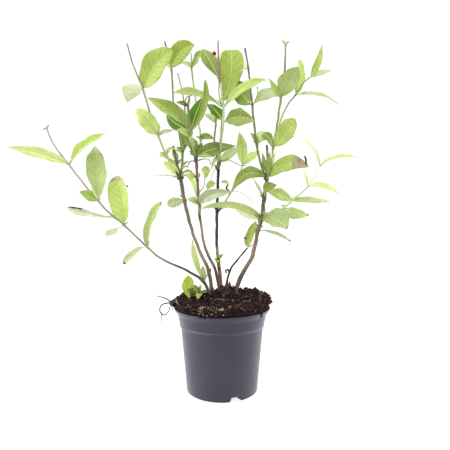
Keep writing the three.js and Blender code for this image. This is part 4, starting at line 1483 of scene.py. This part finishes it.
def fibre_body(rng, count):
    """Fine fibres on the mound: each turns evenly along its length, and stands up between its ends by a
    sine."""
    share = np.linspace(0, 1, 7)
    body = Body()
    for number, start in enumerate(mound_places(rng, count, 0.1, 1.0)):
        heading = rng.uniform(0, 2 * np.pi)
        reach = rng.uniform(4, 15)
        turn = heading + rng.uniform(-1.6, 1.6) * share
        x, y = start[0] + reach * share * np.cos(turn), start[1] + reach * share * np.sin(turn)
        fit = np.minimum(1, FIBRE_REACH / np.hypot(x, y))
        x, y = x * fit, y * fit
        z = mound_height(x, y) + 0.6 + rng.uniform(0.2, 2.2) * np.sin(np.pi * share)
        radii = rng.uniform(0.14, 0.42) * (1.05 - 0.7 * share)
        body.loft(tube_rings(np.stack([x, y, z], 1), radii, 4), int(number % PALE_FIBRE == 0))
    return body


def root_body():
    """Fine roots: tubes along their own routes, made a little crooked by waves, and thinner to the end."""
    body = Body()
    for route, thick, kind in ROOTS:
        points = np.array(route, float)
        places = even_places(points, 1.0)
        path = spline(points, places)
        crooked = 0.25 * np.stack([waves(path, 6, SEEDS["roots"] + axis) for axis in range(3)], -1)
        body.loft(tube_rings(path + crooked, thick / 2 * (1.1 - 0.45 * places), 6), kind)
    return body


# ---------------------------------------------------------------- stems


def limb_points(name):
    return np.array(LIMBS[name]["route"], float)


def is_twig(name):
    return "part_of" in LIMBS[name]


def limb_leaves(name):
    return LIMBS[name].get("leaves", {})


def limb_skin(name, places):
    """The limb's tone at places: its named tones run evenly from one to the next."""
    stops = SKINS[name]
    at = [place for place, _ in stops]
    colours = np.array([linear(*TONES[tone]) for _, tone in stops])
    run = places * (len(LIMBS[name]["route"]) - 1)
    return np.stack([np.interp(run, at, column) for column in colours.T], -1)


def stem_swelling(name, run, along, settings, seed):
    """The share by which a limb is thicker along its run: slow waves, and at its foot and every leaf joint a
    bell and just above it a narrow one. A twig has only the waves."""
    swell = np.zeros(len(along))
    for joint in [] if is_twig(name) else sorted({*limb_leaves(name), 0}):
        at = np.interp(joint, run, along)
        swell += settings.joint * np.exp(-((along - at) / 2.4) ** 2)
        swell += 0.12 * np.exp(-((along - at - 2.2) / 0.6) ** 2)
    return swell + 0.05 * waves(along[:, None], 17, seed)


def stem_rings(name, settings, seed):
    """A limb's skin: a tube along its spline. The radius is half the thickness times the girth, times one
    plus the swelling, times one plus cracks that are waves long along the limb and short round it. The end is
    rounded off."""
    route = limb_points(name)
    step = settings.step / MM * (0.7 if is_twig(name) else 1.0)
    places = even_places(route[:, :3], step)
    path = spline(route[:, :3], places)
    run = places * (len(route) - 1)
    half = np.interp(run, np.arange(len(route)), route[:, 3]) / 2 * settings.girth
    along = distances(path)
    swell = stem_swelling(name, run, along, settings, seed)
    sides = settings.sides if route[:, 3].max() > 2 else max(settings.sides // 2, 6)
    angle = even_angles(sides)
    straight = round_axis(half[:, None], angle, along[:, None])
    rough = settings.relief * np.clip(half.mean() / 2, 0.25, 1)
    cracks = waves(straight * (1, 1, 0.1), 2.2, seed + 1)
    cracks = cracks + 0.6 * waves(straight * (1, 1, 0.25), 1.1, seed + 2)
    lean = 0.12 * half.max() * np.stack([waves(along[:, None], size, seed + 3) for size in (23, 31, 37)], -1)
    ease = np.sin(np.pi * along / along[-1])[:, None]
    end = np.clip((along[-1] - along) / half[-1], 0, 1)
    tip = np.sqrt(np.clip(1 - (1 - end) ** 2, 0.05, 1))
    radii = (half * (1 + swell) * tip)[:, None] * (1 + rough * cracks)
    rings = tube_rings(path + lean * ease, radii, sides)
    skin = np.repeat(limb_skin(name, places)[:, None], sides, 1)
    rugged = np.full((len(path), sides, 1), np.clip((half.mean() - 0.7) / 1.2, 0.12, 1))
    return rings, {"straight": straight, "skin": skin, "rugged": rugged}


# ---------------------------------------------------------------- leaves


def leaf_frames(base, look):
    """The midrib and the blade's own directions along it. The midrib runs along turn and lift, and at share s
    of its length it bows upward by 4 x arch x s x (1 - s) and sideways by 4 x sway x s x (1 - s). Its end
    bends by curl, and the blade turns about it by twist."""
    share = np.linspace(0, 1, LEAF_ROWS + 1)
    turn, lift, lean = np.radians([look["turn"], look["lift"], look["lean"]])
    heading = np.array([np.cos(turn) * np.cos(lift), np.sin(turn) * np.cos(lift), np.sin(lift)])
    upward = square_to(heading, UP)
    face = unit(np.cos(lean) * upward + np.sin(lean) * square_to(heading, FRONT))
    bow = upward * look["arch"] + np.cross(face, heading) * look["sway"]
    pace = heading * look["long"] + bow * (4 - 8 * share)[:, None]
    length = np.linalg.norm(pace, axis=1)
    along = pace / length[:, None]
    over = square_to(along, face)
    bend = np.radians(look["curl"]) * np.clip((share - 0.35) / 0.65, 0, 1) ** 1.5
    along, over = turned(along, over, bend)
    across = np.cross(over, along)
    across, over = turned(across, over, np.radians(look["twist"]) * share)
    steps = along * length[:, None] / LEAF_ROWS
    middle = base + np.vstack([np.zeros(3), np.cumsum((steps[1:] + steps[:-1]) / 2, axis=0)])
    return share, middle, across, over


def leaf_outline(share, look):
    """Half widths on both sides: the blade share to a power, times its rest to a power, scaled to one at the
    widest place. The stalk's half width is added as the root of the sum of squares."""
    blade = np.clip((share - look["stalk"]) / (1 - look["stalk"]), 0, 1)[:, None]
    side = np.array([1, -1])
    full = look["full"] + look["skew"] * side
    end = 1.3 - 0.8 * look["blunt"]
    begin = end * full / (1 - full)
    swell = blade**begin * (1 - blade) ** end / (full**begin * (1 - full) ** end)
    stalk = 0.25 + 0.55 * (1 - share[:, None]) ** 2
    half = look["wide"] / 2 * (1 + look["lop"] * side) * swell
    return blade, np.sqrt(half**2 + stalk**2)


def leaf_places(blade, half):
    """Places across the blade from 1 to -1 over the upper face and back under it, and which of them are on
    the underside. They stand at the midrib and its two sides, and closer together towards the margin."""
    rib = np.clip(0.55 * (1 - 0.72 * blade) / half.mean(1, keepdims=True), 0.03, 0.45)
    outer = rib + (1 - rib) * LEAF_COLUMNS
    upper = np.hstack([outer[:, ::-1], np.zeros_like(rib), -outer])
    place = np.hstack([upper, upper[:, -2:0:-1]])
    return place, np.arange(place.shape[1]) >= upper.shape[1]


def leaf_heights(blade, place, below, wide, fold, settings, rng):
    """How far the skin stands over the midrib: the halves rise by fold, cup and wave towards the margin by
    the square of the place across, and bulge between the side veins by a squared sine. The midrib is sunk
    above and stands out below."""
    spread = np.abs(place)
    rise = np.sin(fold) * (np.sqrt(spread**2 + 0.03) - 0.17) * wide
    cup = rng.uniform(-0.10, 0.02) * wide * spread**2
    waving = rng.uniform(1.6, 2.6) * blade + rng.uniform()
    wave = 0.07 * wide * spread**2 * np.sin(2 * np.pi * waving + np.sign(place) * rng.uniform(0.3, 1.4))
    count = VEIN_PAIRS * blade - VEIN_SLOPE * spread
    quilt = settings.quilt / MM * np.sin(np.pi * count) ** 2 * (1 - spread**4)
    quilt = quilt * np.clip(wide / 12, 0, 1.2) * np.clip(12 * blade * (1 - blade), 0, 1)
    ridge = np.exp(-((place * wide / 0.7) ** 2))
    height = rise + cup + wave + quilt - 0.22 * ridge * (1 - blade)
    thick = settings.thick / MM * (1 - spread**8) + 0.55 * ridge * (1 - 0.7 * blade)
    return height - np.where(below, thick, 0)


def leaf_kinds(blade, kinds):
    """The finish of each quad: the upper face, the underside, or the midrib and the stalk."""
    half = len(LEAF_COLUMNS)
    kind = np.where(np.arange(4 * half) < 2 * half, kinds["face"], kinds["under"])
    kind[[half - 1, half, 3 * half, 3 * half + 1]] = kinds["rib"]
    kind = np.repeat(kind[None], LEAF_ROWS, 0)
    kind[blade[1:, 0] <= 0.01] = kinds["rib"]
    return kind


def leaf_marks(blade, place, rings, look, seed):
    """Point marks for the finish: the place on the blade, how clear its veins are, and where it is dry or
    black, with ragged borders."""
    ragged = 0.05 * waves(rings, 9, seed + 5)
    dry = np.clip((blade - look["dry"] + ragged) / 0.15 + 0.5, 0, 1)
    char = np.clip((blade - look["char"] + 0.3 * ragged) / 0.03 + 0.5, 0, 1)
    edge = np.clip((blade - look["edge"]) / 0.03 + 0.5, 0, 1) * (place < -0.45)
    return {
        "blade": np.stack(np.broadcast_arrays(blade, place, float(seed % 97)), -1),
        "clear": np.full((*place.shape, 1), np.clip((look["wide"] - 6) / 22, 0.12, 1)),
        "dry": dry[..., None],
        "char": np.maximum(char, edge)[..., None],
    }


def add_leaf(body, base, look, kinds, settings, seed):
    """One closed blade: rings across the midrib, over the upper face from margin to margin and back under it.
    Waves make the outline uneven, and every other row ends in a tooth."""
    rng = np.random.default_rng(seed)
    share, middle, across, over = leaf_frames(base, look)
    blade, half = leaf_outline(share, look)
    teeth = settings.teeth / MM * np.clip(look["wide"] / 16, 0.2, 1)
    uneven_edge = np.stack([waves(share[:, None], size, seed + 7) for size in (0.5, 0.45)], -1)
    half = half * (1 + settings.waviness * uneven_edge * np.clip(6 * blade * (1 - blade), 0, 1))
    tooth = teeth * ((-1.0) ** np.arange(len(share)))[:, None] * np.clip(8 * blade * (1 - blade), 0, 1)
    place, below = leaf_places(blade, half)
    wide = np.where(place > 0, half[:, :1], half[:, 1:])
    fold = np.radians(look["fold"]) * (1 - 0.45 * blade)
    height = leaf_heights(blade, place, below, wide, fold, settings, rng)
    side = place * (wide + tooth * np.abs(place)**12) * np.cos(fold)
    rings = middle[:, None] + side[..., None] * across[:, None] + height[..., None] * over[:, None]
    body.loft(rings, leaf_kinds(blade, kinds), **leaf_marks(blade, place, rings, look, seed))


def growths(name):
    """The limb and the twigs that are part of it."""
    return [name, *(other for other, look in LIMBS.items() if look.get("part_of") == name)]


def main_limbs():
    return [name for name in LIMBS if not is_twig(name)]


def young_leaves(name, rng):
    """The branching rule for the small growth that every joint carries: one or two young leaves, turned out
    from it in a seeded direction, short, and leaning the way the limb runs."""
    found = []
    route = limb_points(name)
    for joint in limb_leaves(name):
        toward = unit(route[min(joint + 1, len(route) - 1), :3] - route[max(joint - 1, 0), :3])
        for _ in range(rng.integers(1, 3)):
            out = unit(rng.normal(size=3) * (1, 1, 0.4) + (0, 0.7, 0))
            heading = unit(out + 0.9 * toward)
            turn = np.degrees(np.arctan2(heading[1], heading[0]))
            lift = np.degrees(np.arcsin(heading[2]))
            long = rng.uniform(7, 15)
            tint = YOUNG_TINTS[rng.integers(len(YOUNG_TINTS))]
            wide = long * rng.uniform(0.28, 0.4)
            look = leaf(turn, lift, long, wide, 1, 45, tint, curl=rng.uniform(-20, 30), stalk=0.08)
            found.append((joint, look))
    return found


def blades_of(name, rng):
    """Every leaf of a limb and its twigs, as the place of its joint and its look, with the limb's young
    leaves after its own."""
    found = []
    for growth in growths(name):
        own = [(joint, look) for joint, looks in limb_leaves(growth).items() for look in looks]
        if growth == name:
            own += young_leaves(name, rng)
        route = limb_points(growth)
        found += [(route[joint, :3], look) for joint, look in own]
    return found


def tint_finishes(settings):
    """For each tint the finish of its upper face and that of its underside."""
    found = {}
    for tint, (upper, under) in TINTS.items():
        gloss = settings.dull_gloss if tint in DULL_TINTS else settings.gloss
        found[tint] = (
            leaf_finish(f"Leaf {tint}", linear(*upper), gloss, settings),
            leaf_finish(f"Leaf {tint} underside", linear(*under), gloss, settings, under=True),
        )
    return found


def is_mass_of(node_name, place):
    """Whether a node is one of the numbered leaf masses of that limb."""
    return node_name.rpartition("_")[0] == f"leaves_{place}"


# ---------------------------------------------------------------- flower bud and stage


def bud_body():
    """A thin tube that widens evenly, and past its middle a ball: the radius is the ball's times the root of
    one less the square of the way from the ball's middle."""
    base, tip = np.array(BUD["base"], float), np.array(BUD["tip"], float)
    share = np.linspace(0, 1, BUD["rings"])
    path = base + (tip - base) * share[:, None]
    tube = 1.0 + 0.5 * share
    ball = BUD["ball"] * np.sqrt(np.clip(1 - ((share - 0.76) / 0.25) ** 2, 0, 1))
    radii = np.where(share < 0.52, tube, np.maximum(ball, 0.05))
    on_tube = np.repeat((share[1:] <= 0.55).astype(int)[:, None], BUD["sides"], 1)
    body = Body()
    body.loft(tube_rings(path, radii, BUD["sides"]), on_tube)
    return body


def floor_mesh(settings):
    """A flat square floor that gives off light of its own."""
    mesh = bpy.data.meshes.new("floor")
    corners = [(x * FLOOR_HALF, y * FLOOR_HALF, 0) for x, y in ((-1, -1), (1, -1), (1, 1), (-1, 1))]
    mesh.from_pydata(corners, [], [(0, 1, 2, 3)])
    finish = Finish("Pale floor", 0.6, Specular_IOR_Level=0.2, Emission_Color=(1, 1, 1, 1),
                    Emission_Strength=settings.glow)
    tone, _ = uneven(finish, finish.object_place(), 2, 8, 0.3)
    white = tuple(settings.floor_colour)
    finish.colour(mixed(finish.tree, tone, shaded(white, 0.985), white))
    mesh.materials.append(finish.material)
    return mesh


def stage_camera():
    camera = bpy.data.cameras.new("camera")
    camera.lens = CAMERA["lens"]
    camera.clip_end = 50
    holder = bpy.data.objects.new("camera", camera)
    holder.location = CAMERA["place"]
    holder.rotation_euler = (np.radians(90 - CAMERA["down"]), 0, 0)
    return holder


def studio_world(settings):
    """A white backdrop, a room in front with a light of its own, and three broad soft panels. A panel's light
    is its strength times the cosine of the angle from its middle, raised to a power that sets how wide it
    is."""
    world = bpy.data.worlds.new("Studio")
    world.use_nodes = True
    tree = world.node_tree
    direction = node(tree, "ShaderNodeTexCoord").outputs["Generated"]
    depth = node(tree, "ShaderNodeSeparateXYZ", {"Vector": direction}).outputs["Y"]
    light = ranged(tree, depth, -0.3, 0.5, settings.front, settings.world, interpolation_type="SMOOTHSTEP")
    for toward, narrow, strength in (
        (LEFT_PANEL, 3.0, settings.left), (RIGHT_PANEL, 4.0, settings.right), (TOP_PANEL, 4.0, settings.top)
    ):
        middle = tuple(float(value) for value in unit(np.array(toward)))
        dot = node(tree, "ShaderNodeVectorMath", {0: direction, 1: middle}, operation="DOT_PRODUCT")
        lobe = maths(tree, "POWER", maths(tree, "MAXIMUM", dot.outputs["Value"], 0.0), narrow)
        light = maths(tree, "MULTIPLY_ADD", lobe, strength, light)
    background = tree.nodes["Background"]
    background.inputs["Color"].default_value = (1, 1, 1, 1)
    tree.links.new(light, background.inputs["Strength"])
    return world


# ---------------------------------------------------------------- operators


def settings_of(context):
    return context.scene.weigela


class WEIGELA_OT_pot(bpy.types.Operator):
    """Make the nursery pot"""

    bl_idname = "weigela.pot"
    bl_label = "Pot"

    def execute(self, context):
        settings = settings_of(context).pot
        pot_body(settings).piece("nursery_pot", [pot_finish(settings)], "pot", ["pot"])
        return {"FINISHED"}


class WEIGELA_OT_compost(bpy.types.Operator):
    """Make the mound of compost"""

    bl_idname = "weigela.compost"
    bl_label = "Compost"

    def execute(self, context):
        settings = settings_of(context).compost
        finish = earth_finish("Compost", settings.colour, settings.dry_colour, 160, 1500, 0.92, 0.0012)
        compost_body(settings.rough / MM).piece("compost_mound", [finish], "compost", ["compost"])
        return {"FINISHED"}


class WEIGELA_OT_crumbs(bpy.types.Operator):
    """Strew crumbs, bark chips and grit over the compost"""

    bl_idname = "weigela.crumbs"
    bl_label = "Crumbs"

    def execute(self, context):
        settings = settings_of(context).compost
        rng = np.random.default_rng(SEEDS["crumbs"])
        dark = earth_finish("Peat crumb", settings.colour, settings.dry_colour, 220, 1600)
        dry = earth_finish("Dry crumb", settings.dry_colour, settings.bark_colour, 220, 1600)
        crumb_body(rng, settings).piece("compost_crumbs", [dark, dry], "compost", smooth=False)
        bark = earth_finish("Bark chip", settings.bark_colour, settings.dry_colour, 180, 1200)
        chip_body(rng).piece("bark_chips", [bark], "compost", smooth=False)
        pale = earth_finish("Grit", settings.grit_colour, settings.bark_colour, 300, 1500, 0.75)
        grit_body(rng).piece("grit", [pale], "compost", smooth=False)
        return {"FINISHED"}


class WEIGELA_OT_fibres(bpy.types.Operator):
    """Lay peat fibres and fine roots on the compost"""

    bl_idname = "weigela.fibres"
    bl_label = "Fibres and roots"

    def execute(self, context):
        settings = settings_of(context).compost
        peat = earth_finish("Peat fibre", settings.dry_colour, settings.colour, 200, 1200)
        straw = earth_finish("Straw", settings.grit_colour, settings.bark_colour, 200, 1200)
        rng = np.random.default_rng(SEEDS["fibres"])
        fibre_body(rng, settings.fibres).piece("peat_fibres", [peat, straw], "compost")
        fine = earth_finish("Fine root", settings.root_colour, settings.dry_colour, 260, 1500, 0.8)
        root_body().piece("fine_roots", [fine, straw], "compost")
        return {"FINISHED"}


class WEIGELA_OT_stems(bpy.types.Operator):
    """Make the canes, the shoots and their twigs, with the relief of their bark"""

    bl_idname = "weigela.stems"
    bl_label = "Stems"

    def execute(self, context):
        settings = settings_of(context).stems
        finishes = {
            "bark": stem_finish("Bark", 0.72, 0.7),
            "green_shoot": stem_finish("Green shoot", 0.5, 0.3),
            "red_shoot": stem_finish("Red shoot", 0.52, 0.4),
        }
        for order, name in enumerate(main_limbs()):
            body = Body()
            for part, growth in enumerate(growths(name)):
                rings, marks = stem_rings(growth, settings, SEEDS["stems"] + 40 * order + 5 * part)
                body.loft(rings, **marks)
            slot = "green_shoot" if "green" in name else "red_shoot" if "red" in name else "bark"
            body.piece(f"stem_{name.split('_', 1)[1]}", [finishes[slot]], slot, [name])
        return {"FINISHED"}


class WEIGELA_OT_foliage(bpy.types.Operator):
    """Grow the leaves of every limb"""

    bl_idname = "weigela.foliage"
    bl_label = "Foliage"

    def execute(self, context):
        settings = settings_of(context).leaves
        rib = rib_finish(settings)
        finishes = tint_finishes(settings)
        for order, name in enumerate(main_limbs()):
            blades = blades_of(name, np.random.default_rng(SEEDS["young leaves"] + order))
            if not blades:
                continue
            used = sorted({look["tint"] for _, look in blades})
            body = Body()
            for count, (base, look) in enumerate(blades):
                first = 1 + 2 * used.index(look["tint"])
                kinds = {"rib": 0, "face": first, "under": first + 1}
                add_leaf(body, base, look, kinds, settings, SEEDS["leaves"] + 50 * order + count)
            place = name.split("_", 1)[1]
            materials = [rib, *(finish for tint in used for finish in finishes[tint])]
            nodes = [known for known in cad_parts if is_mass_of(known, place)]
            body.piece(f"foliage_{place}", materials, "leaf", nodes)
        return {"FINISHED"}


class WEIGELA_OT_flower_bud(bpy.types.Operator):
    """Make the one closed flower bud"""

    bl_idname = "weigela.flower_bud"
    bl_label = "Flower bud"

    def execute(self, context):
        red, pink = (
            earth_finish(name, linear(*colours[0]), linear(*colours[1]), 300, 1500, roughness, 0.0002)
            for name, colours, roughness in (("Bud red", BUD_RED, 0.4), ("Bud tube", BUD_TUBE, 0.5))
        )
        bud_body().piece("flower_bud", [red, pink], "red_shoot")
        return {"FINISHED"}


class WEIGELA_OT_stage(bpy.types.Operator):
    """Set up the pale floor, the soft lights and the camera"""

    bl_idname = "weigela.stage"
    bl_label = "Stage"

    def execute(self, context):
        settings = settings_of(context).stage
        scene = context.scene
        floor = bpy.data.objects.new("floor", floor_mesh(settings))
        scene.collection.objects.link(floor)
        scene.world = studio_world(settings)
        scene.camera = stage_camera()
        scene.collection.objects.link(scene.camera)
        scene.view_settings.view_transform = "Standard"
        return {"FINISHED"}


class WEIGELA_PT_panel(bpy.types.Panel):
    """Lists the steps of the potted weigela and the values that they use"""

    bl_idname = "WEIGELA_PT_panel"
    bl_label = "Potted weigela"
    bl_space_type = "VIEW_3D"
    bl_region_type = "UI"
    bl_category = "Weigela"

    def draw(self, context):
        for step in STEPS:
            self.layout.operator(step.bl_idname)
        for group_name in ("pot", "compost", "stems", "leaves", "stage"):
            values = getattr(settings_of(context), group_name)
            box = self.layout.box()
            box.label(text=group_name.capitalize())
            for value in values.bl_rna.properties:
                if value.identifier not in ("rna_type", "name"):
                    box.prop(values, value.identifier)


STEPS = (
    WEIGELA_OT_pot,
    WEIGELA_OT_compost,
    WEIGELA_OT_crumbs,
    WEIGELA_OT_fibres,
    WEIGELA_OT_stems,
    WEIGELA_OT_foliage,
    WEIGELA_OT_flower_bud,
    WEIGELA_OT_stage,
)
SETTINGS = (PotSettings, CompostSettings, StemSettings, LeafSettings, StageSettings, PlantSettings)


def register():
    for kind in (*SETTINGS, *STEPS, WEIGELA_PT_panel):
        bpy.utils.register_class(kind)
    bpy.types.Scene.weigela = PointerProperty(type=PlantSettings)


def unregister():
    del bpy.types.Scene.weigela
    for kind in reversed((*SETTINGS, *STEPS, WEIGELA_PT_panel)):
        bpy.utils.unregister_class(kind)


def main():
    register()
    bpy.ops.weigela.pot()
    bpy.ops.weigela.compost()
    bpy.ops.weigela.crumbs()
    bpy.ops.weigela.fibres()
    bpy.ops.weigela.stems()
    bpy.ops.weigela.foliage()
    bpy.ops.weigela.flower_bud()
    bpy.ops.weigela.stage()


if __name__ == "__main__":
    main()
